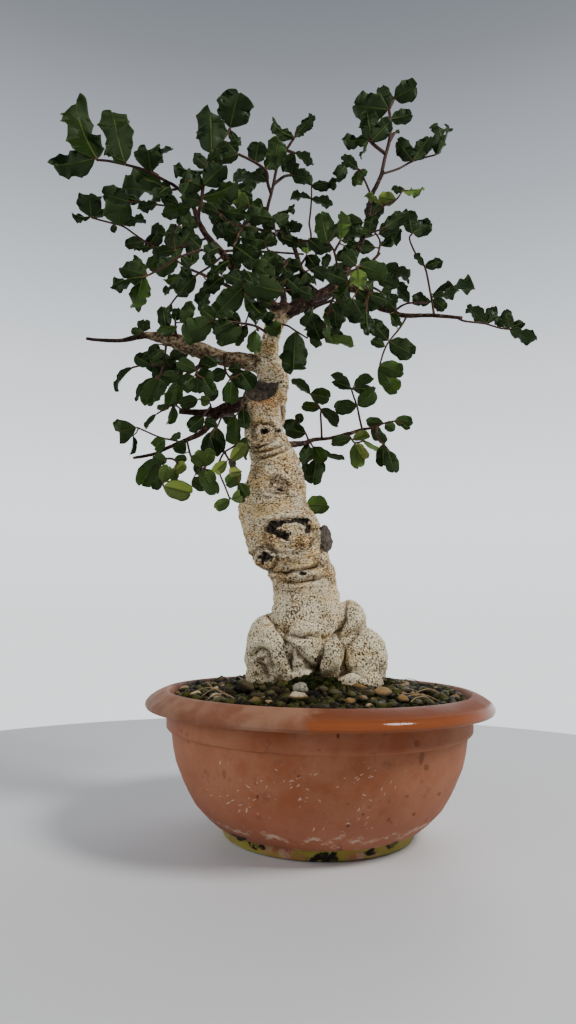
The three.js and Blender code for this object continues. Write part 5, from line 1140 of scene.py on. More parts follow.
class Finish:
    """A material being built: nodes are added with their inputs as values or as other nodes' outputs."""

    def __init__(self, name):
        self.material = bpy.data.materials.new(name)
        self.material.use_nodes = True
        self.tree = self.material.node_tree
        self.shader = self.tree.nodes["Principled BSDF"]

    def add(self, kind, inputs=(), **settings):
        made = self.tree.nodes.new(kind)
        for key, value in settings.items():
            setattr(made, key, value)
        for key, value in dict(inputs).items():
            self.feed(made.inputs[key], value)
        return made

    def feed(self, socket, value):
        if isinstance(value, bpy.types.NodeSocket):
            self.tree.links.new(value, socket)
        elif socket.type == "RGBA" and len(value) == 3:
            socket.default_value = (*value, 1)
        else:
            socket.default_value = value

    def set(self, **inputs):
        for key, value in inputs.items():
            self.feed(self.shader.inputs[key.replace("_", " ")], value)

    def place(self):
        return self.add("ShaderNodeTexCoord").outputs["Object"]

    def axes(self, vector):
        return self.add("ShaderNodeSeparateXYZ", {0: vector}).outputs

    def attribute(self, name):
        return self.add("ShaderNodeAttribute", attribute_name=name)

    def channels(self, name):
        return self.add("ShaderNodeSeparateColor", {0: self.attribute(name).outputs["Color"]}).outputs

    def math(self, operation, a, b=0.0):
        return self.add("ShaderNodeMath", {0: a, 1: b}, operation=operation).outputs[0]

    def times(self, a, b):
        return self.math("MULTIPLY", a, b)

    def plus(self, a, b):
        return self.math("ADD", a, b)

    def larger(self, a, b):
        return self.math("MAXIMUM", a, b)

    def swing(self, value, amount):
        """A value from 0 to 1 made to swing round zero, by this amount in all."""
        return self.times(self.plus(value, -0.5), amount)

    def between(self, value, low, high, first=0.0, last=1.0):
        """Eases from the first result to the last while the value goes from low to high."""
        inputs = {"Value": value, "From Min": low, "From Max": high, "To Min": first, "To Max": last}
        return self.add("ShaderNodeMapRange", inputs, interpolation_type="SMOOTHSTEP").outputs[0]

    def rest(self, share):
        """What a share leaves over, eased."""
        return self.between(share, 0.0, 1.0, 1.0, 0.0)

    def noise(self, vector, scale, detail=3, rough=0.55, twist=0.0):
        inputs = {"Vector": vector, "Scale": scale, "Detail": detail, "Roughness": rough}
        return self.add("ShaderNodeTexNoise", {**inputs, "Distortion": twist}).outputs["Fac"]

    def cells(self, vector, scale, feature="F1", random=1.0):
        inputs = {"Vector": vector, "Scale": scale, "Randomness": random}
        return self.add("ShaderNodeTexVoronoi", inputs, feature=feature).outputs

    def stretched(self, vector, scale):
        return self.add("ShaderNodeMapping", {"Vector": vector, "Scale": scale}).outputs[0]

    def mixed(self, share, a, b, blend="MIX"):
        made = self.add("ShaderNodeMix", data_type="RGBA", blend_type=blend, clamp_factor=True)
        self.feed(made.inputs[0], share)
        self.feed(made.inputs[6], a)
        self.feed(made.inputs[7], b)
        return made.outputs[2]

    def ramp(self, value, stops):
        made = self.add("ShaderNodeValToRGB", {0: value})
        elements = made.color_ramp.elements
        while len(elements) < len(stops):
            elements.new(0.5)
        for element, (at, colour) in zip(elements, stops):
            element.position = at
            element.color = (*colour, 1)
        return made.outputs[0]

    def bump(self, height, distance, strength):
        inputs = {"Height": height, "Distance": distance, "Strength": strength}
        return self.add("ShaderNodeBump", inputs).outputs[0]

    def spot(self, axes, x, z, half_x, half_z, ragged):
        """A soft-edged patch on the front, round the point x, z in millimetres."""
        dx = self.times(self.plus(axes[0], -x * MM), 1 / (half_x * MM))
        dz = self.times(self.plus(axes[2], -z * MM), 1 / (half_z * MM))
        away = self.math("SQRT", self.plus(self.times(dx, dx), self.times(dz, dz)))
        inside = self.between(self.plus(away, ragged), 1.1, 0.8)
        return self.times(inside, self.between(axes[1], 0.0, -0.02))


def pot_plastic(look):
    """Terracotta plastic: hazy bloom, stains and limescale, and wet gloss on the right of the rim, whose top
    there is darkened as painted shade.
    """
    f = Finish("terracotta_plastic")
    place = f.place()
    axes = f.axes(place)
    broad = f.noise(place, 16, 4, 0.6)
    fine = f.noise(place, 90, 5, 0.65)
    cloudy = f.noise(place, 45, 5, 0.7)
    haze = f.between(f.plus(f.times(broad, 0.55), f.times(cloudy, 0.45)), 0.38, 0.62)
    colour = f.mixed(haze, look.body_color, look.bloom_color)
    blotch = f.times(f.between(fine, 0.56, 0.72), 0.55)
    colour = f.mixed(blotch, colour, (0.155, 0.045, 0.025))
    colour = f.mixed(f.between(axes[2], 0.055, 0.02, 0.0, 0.4), colour, (0.33, 0.120, 0.076))
    rim = f.between(axes[2], 0.0958, 0.0972)
    hazy = f.between(f.noise(place, 34, 4, 0.6), 0.4, 0.62)
    hazy_rim = f.mixed(hazy, (0.225, 0.085, 0.044), (0.30, 0.15, 0.09))
    colour = f.mixed(rim, colour, hazy_rim)
    edge = f.plus(axes[0], f.swing(f.noise(place, 38, 4, 0.7), 0.07))
    wet = f.times(f.between(edge, -0.012, 0.004), f.between(axes[2], 0.094, 0.0975))
    wet = f.times(wet, f.between(axes[1], 0.01, -0.045))
    lip = f.between(axes[2], 0.1015, 0.1075)
    wet_tone_and_lip_shade = f.mixed(broad, look.wet_color, (0.30, 0.090, 0.034))
    # Painted shade: on the top of the wet rim the wet colour is darkened towards near black.
    wet_tone_and_lip_shade = f.mixed(lip, wet_tone_and_lip_shade, f.mixed(0.45, wet_tone_and_lip_shade, (0.03, 0.008, 0.004)))
    colour = f.mixed(wet, colour, wet_tone_and_lip_shade)
    flat = f.add("ShaderNodeCombineXYZ", {0: axes[0], 1: 0.0, 2: axes[2]}).outputs[0]
    ragged = f.swing(f.noise(place, 130, 3, 0.6), 2.0)
    stains = 0.0
    for x, z, half_x, half_z, depth in POT_STAINS:
        stains = f.larger(stains, f.times(f.spot(axes, x, z, half_x, half_z, ragged), depth))
    colour = f.mixed(stains, colour, (0.09, 0.026, 0.014))
    fleck = 0.0
    for turn, dense in ((0.5, 55), (-0.4, 75), (1.2, 62)):
        turned = f.add("ShaderNodeMapping", {"Vector": flat, "Rotation": (0, turn, 0)}).outputs[0]
        cells = f.cells(f.stretched(turned, (125, 1, 640)), 1)
        sparse = f.between(f.noise(place, dense, 3, 0.6), 0.57, 0.61)
        fleck = f.larger(fleck, f.times(f.between(cells["Distance"], 0.23, 0.15), sparse))
    fleck = f.times(fleck, f.times(f.between(axes[2], 0.02, 0.035), f.between(axes[2], 0.079, 0.066)))
    fleck = f.times(fleck, f.times(f.between(axes[0], -0.09, -0.06), f.between(axes[0], 0.07, 0.03)))
    lime_height = f.plus(axes[2], f.swing(f.noise(place, 45, 4, 0.7), 0.03))
    lime = f.times(f.between(lime_height, 0.0165, 0.0182), f.between(lime_height, 0.0225, 0.0186))
    lime = f.times(lime, f.between(f.noise(place, 75, 3, 0.7), 0.4, 0.6))
    crust = f.times(f.between(axes[2], 0.012, 0.0095), f.between(fine, 0.48, 0.66))
    lime = f.larger(lime, f.times(crust, 0.7))
    pale = f.larger(f.times(fleck, 0.85), f.times(lime, 0.7))
    colour = f.mixed(pale, colour, (0.62, 0.50, 0.38))
    foot = f.between(axes[2], 0.0092, 0.0072)
    algae = f.times(foot, f.between(f.noise(place, 26, 4, 0.6), 0.34, 0.5))
    colour = f.mixed(f.times(algae, 0.9), colour, (0.29, 0.26, 0.045))
    soot = f.times(f.between(f.noise(place, 21, 5, 0.7), 0.58, 0.63), f.between(axes[1], -0.01, 0.01))
    for x, z, half_x, half_z in FOOT_SOOT:
        soot = f.larger(soot, f.spot(axes, x, z, half_x, half_z, f.times(ragged, 1.1)))
    soot = f.times(soot, f.between(axes[2], 0.016, 0.0115))
    soot = f.times(soot, f.between(f.noise(place, 150, 4, 0.7), 0.36, 0.5))
    colour = f.mixed(soot, colour, (0.012, 0.011, 0.009))
    rough = f.plus(f.between(haze, 0.0, 1.0, 0.5, 0.66), f.swing(fine, 0.12))
    gloss = f.times(wet, f.rest(lip))
    rough = f.plus(f.times(rough, f.rest(gloss)), f.times(gloss, 0.09))
    height = f.plus(f.times(fine, 0.25), f.times(f.noise(place, 420, 2), 0.12))
    f.set(Base_Color=colour, Roughness=rough, Specular_IOR_Level=0.15)
    f.set(Normal=f.bump(height, 0.0006, 0.5))
    return f.material


def wet_earth(look):
    """Dark wet soil with moss round the trunk."""
    f = Finish("wet_earth")
    place = f.place()
    grain = f.noise(place, 420, 5, 0.7)
    patch = f.noise(place, 42, 4, 0.6)
    colour = f.ramp(grain, (
        (0.3, (0.005, 0.004, 0.003)), (0.55, (0.02, 0.015, 0.008)), (0.75, (0.06, 0.045, 0.022)),
    ))
    moss = f.between(patch, 0.44, 0.6)
    colour = f.mixed(f.times(moss, 0.3), colour, look.moss_color)
    f.set(Base_Color=colour, Roughness=0.8, Specular_IOR_Level=0.1)
    f.set(Normal=f.bump(f.plus(grain, f.times(f.noise(place, 900, 2), 0.5)), 0.002, 0.9))
    return f.material


def grit_stone():
    """Round grit and pebbles: each stone's own colour with painted shade on its underside, veined and
    flecked, some wet, some mossy.
    """
    f = Finish("river_grit")
    place = f.place()
    tint = f.channels("tint")
    fine = f.noise(place, 900, 4, 0.7)
    colour = f.ramp(tint[0], (
        (0.0, (0.004, 0.003, 0.002)), (0.2, (0.010, 0.006, 0.003)), (0.38, (0.020, 0.018, 0.006)),
        (0.55, (0.045, 0.028, 0.011)), (0.7, (0.090, 0.076, 0.042)), (0.84, (0.26, 0.135, 0.042)),
        (1.0, (0.66, 0.56, 0.38)),
    ))
    colour = f.mixed(f.between(fine, 0.5, 0.75), colour, f.mixed(0.65, colour, (0.02, 0.016, 0.01)))
    veins = f.between(f.cells(place, 150, "DISTANCE_TO_EDGE")["Distance"], 0.06, 0.0)
    cracks = f.times(veins, tint[2])
    colour = f.mixed(cracks, f.mixed(tint[2], colour, (0.36, 0.325, 0.245)), (0.02, 0.016, 0.010))
    mossy = f.times(f.between(f.noise(place, 240, 3), 0.45, 0.6), tint[1])
    colour = f.mixed(f.times(mossy, 0.8), colour, (0.068, 0.070, 0.009))
    rough = f.between(f.noise(place, 60, 3), 0.38, 0.62, 0.4, 0.8)
    f.set(Base_Color=colour, Roughness=rough, Specular_IOR_Level=0.13)
    f.set(Normal=f.bump(fine, 0.0006, 0.8))
    return f.material


def moss_growth(look):
    """Soft short moss, with painted shade darkening each cushion's underside."""
    f = Finish("moss")
    place = f.place()
    tint = f.channels("tint")
    fine = f.noise(place, 1200, 4, 0.7)
    colour = f.mixed(f.times(tint[0], 0.6), look.moss_color, (0.17, 0.18, 0.022))
    colour = f.mixed(f.between(fine, 0.45, 0.65), (0.006, 0.009, 0.003), colour)
    f.set(Base_Color=colour, Roughness=0.9, Specular_IOR_Level=0.08)
    f.set(Normal=f.bump(fine, 0.0012, 1.0))
    return f.material


def bark(look):
    """Cream bark thick with brown specks, ochre between its folds, ageing to rough tan on the limbs, with
    painted shade in its creases.
    """
    f = Finish("bark")
    place = f.place()
    marks = f.channels("marks")
    dark, age, crease_shade = marks[0], marks[1], marks[2]
    axes = f.axes(place)
    flat = f.stretched(place, (0.66, 0.66, 1.2))
    upper = f.between(axes[2], 0.168, 0.21)
    lower = f.rest(upper)
    even = f.noise(place, 740, 4, 0.64)
    drawn_out = f.noise(flat, 800, 4, 0.64)
    speckle = f.mixed(f.times(upper, 0.75), even, drawn_out)
    speckle = f.axes(speckle)[0]
    broad = f.noise(place, 30, 4, 0.6)
    share = f.plus(speckle, f.swing(f.noise(place, 60, 4, 0.65), 0.24))
    wrinkle = f.noise(f.stretched(place, (85, 85, 420)), 1, 3, 0.6, 0.8)
    wrinkle = f.between(f.math("ABSOLUTE", f.plus(wrinkle, -0.5)), 0.03, 0.0)
    share = f.plus(share, f.times(wrinkle, f.between(upper, 0.0, 1.0, 0.0, 0.075)))
    coarse = f.ramp(share, (
        (0.38, (0.98, 0.88, 0.64)), (0.51, look.cream_color), (0.55, (0.50, 0.38, 0.22)),
        (0.58, (0.14, 0.085, 0.045)), (0.62, (0.045, 0.028, 0.017)),
    ))
    close = f.ramp(share, (
        (0.36, (0.95, 0.85, 0.66)), (0.465, look.cream_color), (0.52, look.tan_color),
        (0.56, (0.27, 0.17, 0.088)), (0.60, (0.095, 0.056, 0.030)), (0.66, (0.035, 0.021, 0.013)),
    ))
    cream = f.mixed(upper, coarse, close)
    ochre = f.between(f.plus(f.noise(flat, 70, 4, 0.65), f.times(upper, 0.03)), 0.48, 0.62)
    ochre = f.times(ochre, f.between(upper, 0.0, 1.0, 0.4, 0.8))
    cream = f.mixed(ochre, cream, (0.96, 0.79, 0.53), "MULTIPLY")
    cream = f.mixed(f.between(broad, 0.56, 0.7), cream, (0.78, 0.74, 0.68), "MULTIPLY")
    dots = f.between(f.cells(place, 360)["Distance"], 0.36, 0.2)
    here = f.between(f.noise(place, 55, 3), 0.42, 0.54)
    dots = f.times(dots, f.times(here, f.plus(f.times(lower, 0.7), 0.3)))
    cream = f.mixed(f.times(dots, 0.9), cream, (0.05, 0.031, 0.018))
    # The bark turns darker and olive just above the soil.
    foot_darkening = f.between(f.plus(axes[2], f.swing(broad, 0.03)), 0.125, 0.108)
    cream = f.mixed(f.times(foot_darkening, 0.6), cream, (0.09, 0.085, 0.03))
    scaly = f.plus(f.times(f.noise(place, 430, 4, 0.7), 0.6), f.times(f.noise(place, 140, 4, 0.7), 0.4))
    old = f.ramp(scaly, (
        (0.41, (0.014, 0.009, 0.007)), (0.465, (0.10, 0.062, 0.036)), (0.52, (0.24, 0.165, 0.092)),
        (0.59, (0.46, 0.36, 0.225)),
    ))
    young = f.ramp(scaly, (
        (0.42, (0.012, 0.006, 0.005)), (0.51, (0.042, 0.020, 0.015)), (0.56, (0.12, 0.062, 0.040)),
        (0.62, (0.26, 0.16, 0.10)),
    ))
    wood = f.mixed(f.between(age, 0.2, 0.42), cream, old)
    wood = f.mixed(f.between(age, 0.5, 0.8), wood, young)
    # Painted shade: creases, folds and grooves are darkened to deep brown.
    wood = f.mixed(f.times(crease_shade, 0.9), wood, (0.07, 0.040, 0.020))
    broken = f.noise(place, 330, 5, 0.75)
    scar = f.ramp(broken, (
        (0.42, (0.008, 0.006, 0.005)), (0.53, (0.040, 0.028, 0.020)), (0.62, (0.13, 0.098, 0.070)),
        (0.7, (0.4, 0.33, 0.24)),
    ))
    edge = f.plus(dark, f.swing(f.noise(place, 250, 4, 0.7), 0.9))
    wood = f.mixed(f.between(edge, 0.3, 0.58), wood, scar)
    stained = f.between(f.plus(axes[2], f.times(axes[1], 1.18)), 0.318, 0.333)
    stained = f.times(stained, f.times(f.between(axes[2], 0.366, 0.36), f.between(age, 0.2, 0.1)))
    stained = f.times(stained, f.between(f.plus(axes[0], f.swing(broken, 0.02)), -0.033, -0.041))
    stained = f.times(stained, f.between(axes[1], 0.0, -0.006))
    wood = f.mixed(f.times(stained, 0.7), wood, (0.9, 0.56, 0.28), "MULTIPLY")
    plates = f.times(f.noise(flat, 150, 4, 0.65), 0.8)
    height = f.plus(f.times(scaly, 0.6), f.plus(plates, f.times(share, -1.2)))
    height = f.plus(height, f.times(dots, -0.25))
    f.set(Base_Color=wood, Roughness=0.78, Specular_IOR_Level=0.18)
    f.set(Normal=f.bump(height, 0.0018, f.between(age, 0.1, 0.6, 0.8, 1.0)))
    return f.material


def cut_wood():
    """Weathered grey-brown end grain."""
    f = Finish("cut_wood")
    place = f.place()
    fine = f.noise(place, 340, 5, 0.75)
    rings = f.noise(f.stretched(place, (420, 420, 120)), 1, 3, 0.6)
    share = f.plus(f.times(fine, 0.55), f.times(rings, 0.45))
    colour = f.ramp(share, (
        (0.34, (0.02, 0.014, 0.010)), (0.5, (0.10, 0.078, 0.060)), (0.66, (0.22, 0.185, 0.15)),
    ))
    f.set(Base_Color=colour, Roughness=0.85, Specular_IOR_Level=0.15)
    f.set(Normal=f.bump(share, 0.0016, 0.9))
    return f.material


def leaf_blade(look):
    """Glossy leathery leaflet: yellow-green midrib and side veins over dark green, paler underneath, with a
    painted highlight along its edge.
    """
    f = Finish("carob_leaf")
    place = f.place()
    blade = f.channels("blade")
    across, along, under = blade[0], blade[1], blade[2]
    tint = f.channels("tint")
    # The first channel of tint is each leaflet's tone with painted light added: lighter low down, darker
    # high up.
    shade, chance = tint[0], tint[1]
    green = f.ramp(shade, (
        (0.0, look.dark_leaf), (0.25, look.mid_leaf), (0.5, (0.050, 0.105, 0.014)),
        (0.75, (0.165, 0.26, 0.045)), (1.0, (0.34, 0.39, 0.07)),
    ))
    green = f.mixed(f.times(chance, 0.3), green, (0.012, 0.03, 0.013))
    mottle = f.noise(place, 130, 4, 0.6)
    green = f.mixed(f.between(mottle, 0.4, 0.75), green, f.mixed(0.3, green, (0.03, 0.065, 0.018)))
    middle = f.math("ABSOLUTE", f.plus(across, -0.5))
    side = f.plus(f.times(along, 9.0), f.times(middle, -7.0))
    side = f.math("ABSOLUTE", f.plus(f.math("FRACT", side), -0.5))
    veins = f.times(f.between(side, 0.06, 0.015), f.between(middle, 0.46, 0.3))
    mesh_veins = f.between(f.cells(place, 620, "DISTANCE_TO_EDGE")["Distance"], 0.08, 0.0)
    net = f.larger(f.times(veins, 0.4), f.times(mesh_veins, 0.12))
    green = f.mixed(net, green, (0.05, 0.085, 0.02))
    rib_width = f.between(along, 0.0, 1.0, 0.035, 0.012)
    rib = f.between(f.plus(middle, f.times(rib_width, -1.0)), 0.014, -0.004)
    green = f.mixed(f.times(rib, 0.9), green, look.rib_color)
    pale = f.mixed(0.55, green, (0.055, 0.085, 0.035))
    green = f.mixed(under, green, pale)
    # Painted highlight: a paler band along each blade's edge.
    edge_highlight = f.between(middle, 0.47, 0.497)
    green = f.mixed(f.times(edge_highlight, 0.5), green, f.mixed(0.5, green, (0.16, 0.19, 0.07)))
    worn = f.times(f.between(middle, 0.47, 0.5), f.between(mottle, 0.54, 0.62))
    green = f.mixed(f.times(worn, 0.5), green, (0.09, 0.06, 0.02))
    height = f.plus(f.times(net, -0.6), f.plus(f.times(rib, -0.8), f.times(mottle, 0.5)))
    rough = f.plus(f.between(mottle, 0.3, 0.7, 0.26, 0.4), f.times(under, 0.25))
    f.set(Base_Color=green, Roughness=rough, Specular_IOR_Level=0.07)
    f.set(Normal=f.bump(height, 0.0005, 0.6))
    return f.material


def young_twig(look):
    """Purple-brown twig, pinkish where it becomes a stalk."""
    f = Finish("young_twig")
    place = f.place()
    grain = f.noise(place, 500, 4, 0.7)
    tint = f.channels("tint")
    wood = f.ramp(grain, (
        (0.3, (0.02, 0.009, 0.008)), (0.55, (0.06, 0.024, 0.019)), (0.75, (0.14, 0.075, 0.055)),
    ))
    colour = f.mixed(tint[1], wood, f.mixed(f.times(grain, 0.5), look.stalk_color, (0.2, 0.17, 0.05)))
    colour = f.mixed(tint[0], colour, look.rib_color)
    f.set(Base_Color=colour, Roughness=0.6, Specular_IOR_Level=0.2)
    f.set(Normal=f.bump(grain, 0.0004, 0.7))
    return f.material


def pale_floor(look):
    f = Finish("pale_floor")
    tone = f.noise(f.place(), 3, 3, 0.5)
    f.set(Base_Color=f.mixed(tone, look.floor_color, (0.66, 0.66, 0.67)), Roughness=0.6)
    return f.material


# Pot

def make_pot(look):
    """The pot turned from its profile, with its drainage holes drilled."""
    bm = turned_profile(((0, 0), *POT_PROFILE, (0, POT_PROFILE[-1][1])), look.pot_steps)
    pot = finish_piece(bm, "pot_shell", [pot_plastic(look)], ("pot",))
    cutter = bmesh.new()
    for i in range(DRAIN_HOLES):
        angle = (i + 0.5) / DRAIN_HOLES * 2 * math.pi
        spot = Matrix.Translation((DRAIN_RING * math.cos(angle), DRAIN_RING * math.sin(angle), 0))
        bmesh.ops.create_cone(
            cutter, cap_ends=True, segments=32, radius1=DRAIN_RADIUS, radius2=DRAIN_RADIUS, depth=20,
            matrix=spot,
        )
    scale_all(cutter, MM)
    holes = add_object("drain_cutter", written_mesh(cutter, "drain_cutter"))
    drill = pot.modifiers.new("drain_holes", "BOOLEAN")
    drill.operation = "DIFFERENCE"
    drill.object = holes
    apply_modifiers(pot)
    bpy.data.objects.remove(holes)
    for polygon in pot.data.polygons:
        polygon.use_smooth = True
    pot.data.set_sharp_from_angle(angle=math.radians(38))
    return pot


def apply_modifiers(piece):
    """Bakes a piece's modifiers into its mesh."""
    depsgraph = bpy.context.evaluated_depsgraph_get()
    baked = bpy.data.meshes.new_from_object(piece.evaluated_get(depsgraph))
    old = piece.data
    piece.modifiers.clear()
    piece.data = baked
    bpy.data.meshes.remove(old)


# Soil, grit, pebbles, moss and surface roots

def soil_top(x, y):
    """Height of the domed soil at a spot, with its small bumps."""
    reach = math.hypot(x, y) / SOIL_REACH
    rough = 1.6 * noise.noise(Vector((x, y, 3)) * 0.06) + 0.7 * noise.noise(Vector((x, y, 9)) * 0.3)
    return SOIL_HEIGHT - SOIL_FALL * reach * reach + rough


def make_soil(look):
    """The soil turned flat at a height well above the pot, then let down on its dome."""
    flat_height = 200
    top = [(radius, flat_height) for radius in range(SOIL_EDGE, 2, -3)]
    bm = turned_profile([(0, SOIL_WALL[0][1]), *SOIL_WALL, *top, (0, flat_height)], 96)
    for vert in bm.verts:
        if vert.co.z > flat_height - 1:
            vert.co.z = soil_top(vert.co.x, vert.co.y)
    return finish_piece(bm, "soil_bed", [wet_earth(look)], ("soil",))


def add_stone(bm, rng, tint, spot, radii, lumps, moss, vein, faces=1):
    """A worn pebble: an icosphere squashed, turned and dented."""
    layer = color_layer(bm, "tint")
    made = bmesh.ops.create_icosphere(bm, subdivisions=faces, radius=1)["verts"]
    offset = Vector((rng.random(), rng.random(), rng.random())) * 40
    tints_with_underside_shade = {}
    for vert in made:
        # Painted shade: each stone's tone is darkened towards its underside.
        tints_with_underside_shade[vert] = tint * (0.2 + 0.8 * smooth_step(-0.2, 0.6, vert.co.z))
        vert.co *= 1 + lumps * noise.noise(vert.co * 1.6 + offset)
    turn = Matrix.Rotation(rng.random() * 6.283, 4, "Z")
    turn = turn @ Matrix.Rotation((rng.random() - 0.5) * 0.9, 4, "X")
    shape = Matrix.Diagonal((*radii, 1))
    bmesh.ops.transform(bm, matrix=Matrix.Translation(spot) @ turn @ shape, verts=made)
    for vert in made:
        vert[layer] = (tints_with_underside_shade[vert], moss, vein, 1)


def trunk_foot_gap(x, y):
    """How far a spot on the soil is from the trunk's foot, roughly, in millimetres."""
    return (math.hypot((x + 3) / 57, y / 50) - 1) * 52


def random_spot(rng, radius):
    """A random spot on a disc: its distance from the middle, x and y."""
    angle = rng.random() * 2 * math.pi
    reach = radius * math.sqrt(rng.random())
    return reach, reach * math.cos(angle), reach * math.sin(angle)


def make_grit(look):
    """Random stones that keep clear of each other and of the trunk, then the larger pebbles."""
    rng = random.Random(SEED)
    parts = []
    bm = bmesh.new()
    taken = [(x, y, r) for x, y, r, tone, moss in PEBBLES]
    for _ in range(look.stone_count):
        for _ in range(8):
            reach, x, y = random_spot(rng, GRIT_REACH)
            size = 1.8 + 3.0 * rng.random() ** 1.6 + (1.5 if rng.random() < 0.1 else 0)
            clear = all(math.hypot(x - a, y - b) > r * 0.75 + size * 0.6 for a, b, r in taken)
            if clear and trunk_foot_gap(x, y) > -3 and reach < GRIT_REACH - 0.4 - size:
                break
        else:
            continue
        low = 0.35 * size * rng.random()
        radii = (size, size * (0.65 + 0.35 * rng.random()), size * (0.55 + 0.4 * rng.random()))
        tint = 0.74 * rng.random() ** 1.3 if rng.random() < 0.93 else 0.74 + 0.2 * rng.random()
        moss = 1.0 if rng.random() < 0.5 else 0.15
        spot = (x, y, soil_top(x, y) + 0.25 * size - low)
        add_stone(bm, rng, tint, spot, radii, 0.55, moss, 0.0, 1 if size < 2.7 else 2)
        bm = next_part(parts, bm)
    for x, y, size, tone, moss in PEBBLES:
        radii = (size, size * 0.8, size * 0.66)
        spot = (x, y, soil_top(x, y) + size * 0.42)
        add_stone(bm, rng, tone, spot, radii, 0.3, moss, 1.0 if tone == 1.0 else 0.0, 3)
    whole = merge_parts([*parts, bm])
    return finish_piece(whole, "grit_and_pebbles", [grit_stone()], ("soil",), recalculate=False)


def make_moss(look):
    """Small cushions of moss: close round the trunk, in patches elsewhere, and in a mound before it."""
    rng = random.Random(SEED + 3)
    parts = []
    bm = bmesh.new()
    count = 0
    while count < look.moss_count:
        reach, x, y = random_spot(rng, MOSS_REACH)
        gap = trunk_foot_gap(x, y)
        patch = noise.noise(Vector((x, y, 20)) * 0.045)
        thick = 0.35 * smooth_step(5, 60, x) * smooth_step(20, -30, y)
        chance = 0.9 if gap < 5 else 0.1 + thick + 1.5 * max(0.0, patch)
        if gap < -2.5 or reach > SOIL_EDGE or rng.random() > chance:
            continue
        size = 0.8 + 1.6 * rng.random()
        spot = (x, y, soil_top(x, y) + (0.9 if gap < 5 else 0.4) * size)
        radii = (size, size * 0.9, size * 0.8)
        add_stone(bm, rng, rng.random(), spot, radii, 0.9, 0.0, 0.0, 1 if size < 1.7 else 2)
        count += 1
        bm = next_part(parts, bm)
    cushions, middle, half, front, run, height = MOUND
    for _ in range(cushions):
        x = middle + half * (2 * rng.random() - 1)
        out = rng.random()
        peak = height * (1 - ((x - middle) / (half + 2)) ** 2) * (1 - out) * (0.35 + 0.65 * rng.random())
        size = 1.5 + 1.7 * rng.random()
        tint = 0.3 * rng.random() if rng.random() < 0.85 else 0.9
        spot = (x, front - run * out, soil_top(x, front - 5) + peak)
        add_stone(bm, rng, tint, spot, (size, size, size * 0.85), 0.9, 0.0, 0.0, 2)
    whole = merge_parts([*parts, bm])
    return finish_piece(whole, "moss_cushions", [moss_growth(look)], ("soil",), recalculate=False)


def make_surface_roots():
    """Thin pale roots that arch over the grit."""
    rng = random.Random(SEED + 4)
    parts = []
    starts = [*SURFACE_ROOTS]
    for _ in range(9):
        angle = rng.random() * 2 * math.pi
        reach = 62 + 40 * rng.random()
        heading = rng.random() * 2 * math.pi
        run = 14 + 22 * rng.random()
        x, y = reach * math.cos(angle), reach * math.sin(angle)
        end = (x + run * math.cos(heading), y + run * math.sin(heading))
        starts.append((x, y, *end, 1.5 + 2 * rng.random()))
    for x0, y0, x1, y1, rise in starts:
        side = Vector((y0 - y1, x1 - x0, 0)) * (0.25 * (rng.random() - 0.5))
        points = []
        for t in (0, 0.2, 0.4, 0.6, 0.8, 1):
            x, y = mix(x0, x1, t), mix(y0, y1, t)
            if math.hypot(x, y) > SOIL_EDGE:
                break
            lift = rise * math.sin(math.pi * t) * 1.6 - 0.4 + 0.9 * (rng.random() - 0.5)
            points.append(Vector((x, y, soil_top(x, y) + 1.2 + lift)) + side * math.sin(math.pi * t))
        if len(points) < 4:
            continue
        radius = 0.32 + 0.26 * rng.random()
        line, radii = smooth_line(points, [radius * (1 - 0.08 * i) for i in range(len(points))], 3)
        bm = bmesh.new()
        add_strand(bm, line, radii, 6)
        layer = color_layer(bm, "tint")
        for vert in bm.verts:
            vert[layer] = (0.89, 0.0, 0.0, 1)
        parts.append(bm)
    return finish_piece(merge_parts(parts), "surface_roots", [grit_stone()], ("soil",))


# Trunk

def segment_gap(px, pz, line):
    """Distance from a seen point to a drawn line, and how far along the line it is."""
    best = (1e9, 0)
    for i, ((x0, z0), (x1, z1)) in enumerate(zip(line, line[1:])):
        run = (x1 - x0) ** 2 + (z1 - z0) ** 2
        t = min(1, max(0, ((px - x0) * (x1 - x0) + (pz - z0) * (z1 - z0)) / run))
        away = math.hypot(px - x0 - t * (x1 - x0), pz - z0 - t * (z1 - z0))
        if away < best[0]:
            best = (away, (i + t) / (len(line) - 1))
    return best


def swell(bm, centre, radii):
    """A swelling: an icosphere stretched to its half sizes."""
    made = bmesh.ops.create_icosphere(bm, subdivisions=4, radius=1)["verts"]
    shape = Matrix.Translation(centre) @ Matrix.Diagonal((*radii, 1))
    bmesh.ops.transform(bm, matrix=shape, verts=made)


def trunk_core(bm):
    """The body of the trunk: rings on its outline, rounded between them."""
    outline = (*FOOT_RINGS, *(row for row in TRUNK_RINGS if row[0] > FOOT_RINGS[-1][0]))
    rings = []
    for i in range(len(outline) - 1):
        rows = [outline[min(len(outline) - 1, max(0, i + k))] for k in (-1, 0, 1, 2)]
        for t in (0, 0.25, 0.5, 0.75):
            rings.append([rounded(*column, t) for column in zip(*rows)])
    rings.append(list(outline[-1]))
    ring = bmesh.ops.create_circle(bm, cap_ends=True, radius=1, segments=56)["verts"]
    edges = [edge for edge in bm.edges if all(vert in ring for vert in edge.verts)]
    last = Matrix.Identity(4)
    for i, (z, left, right, flat) in enumerate(rings):
        half = (right - left) / 2
        place = Matrix.Translation(((left + right) / 2, 0, z)) @ Matrix.Diagonal((half, half * flat, 1, 1))
        if i:
            ring, edges = grow_ring(bm, edges)
        bmesh.ops.transform(bm, matrix=place @ last.inverted(), verts=ring)
        last = place
    bmesh.ops.contextual_create(bm, geom=edges)


def fading(along, start):
    """The strength of a line along its run, less at both ends, where it begins at this share."""
    return math.sin(math.pi * min(1, max(0, start + (1 - 2 * start) * along))) ** 0.5


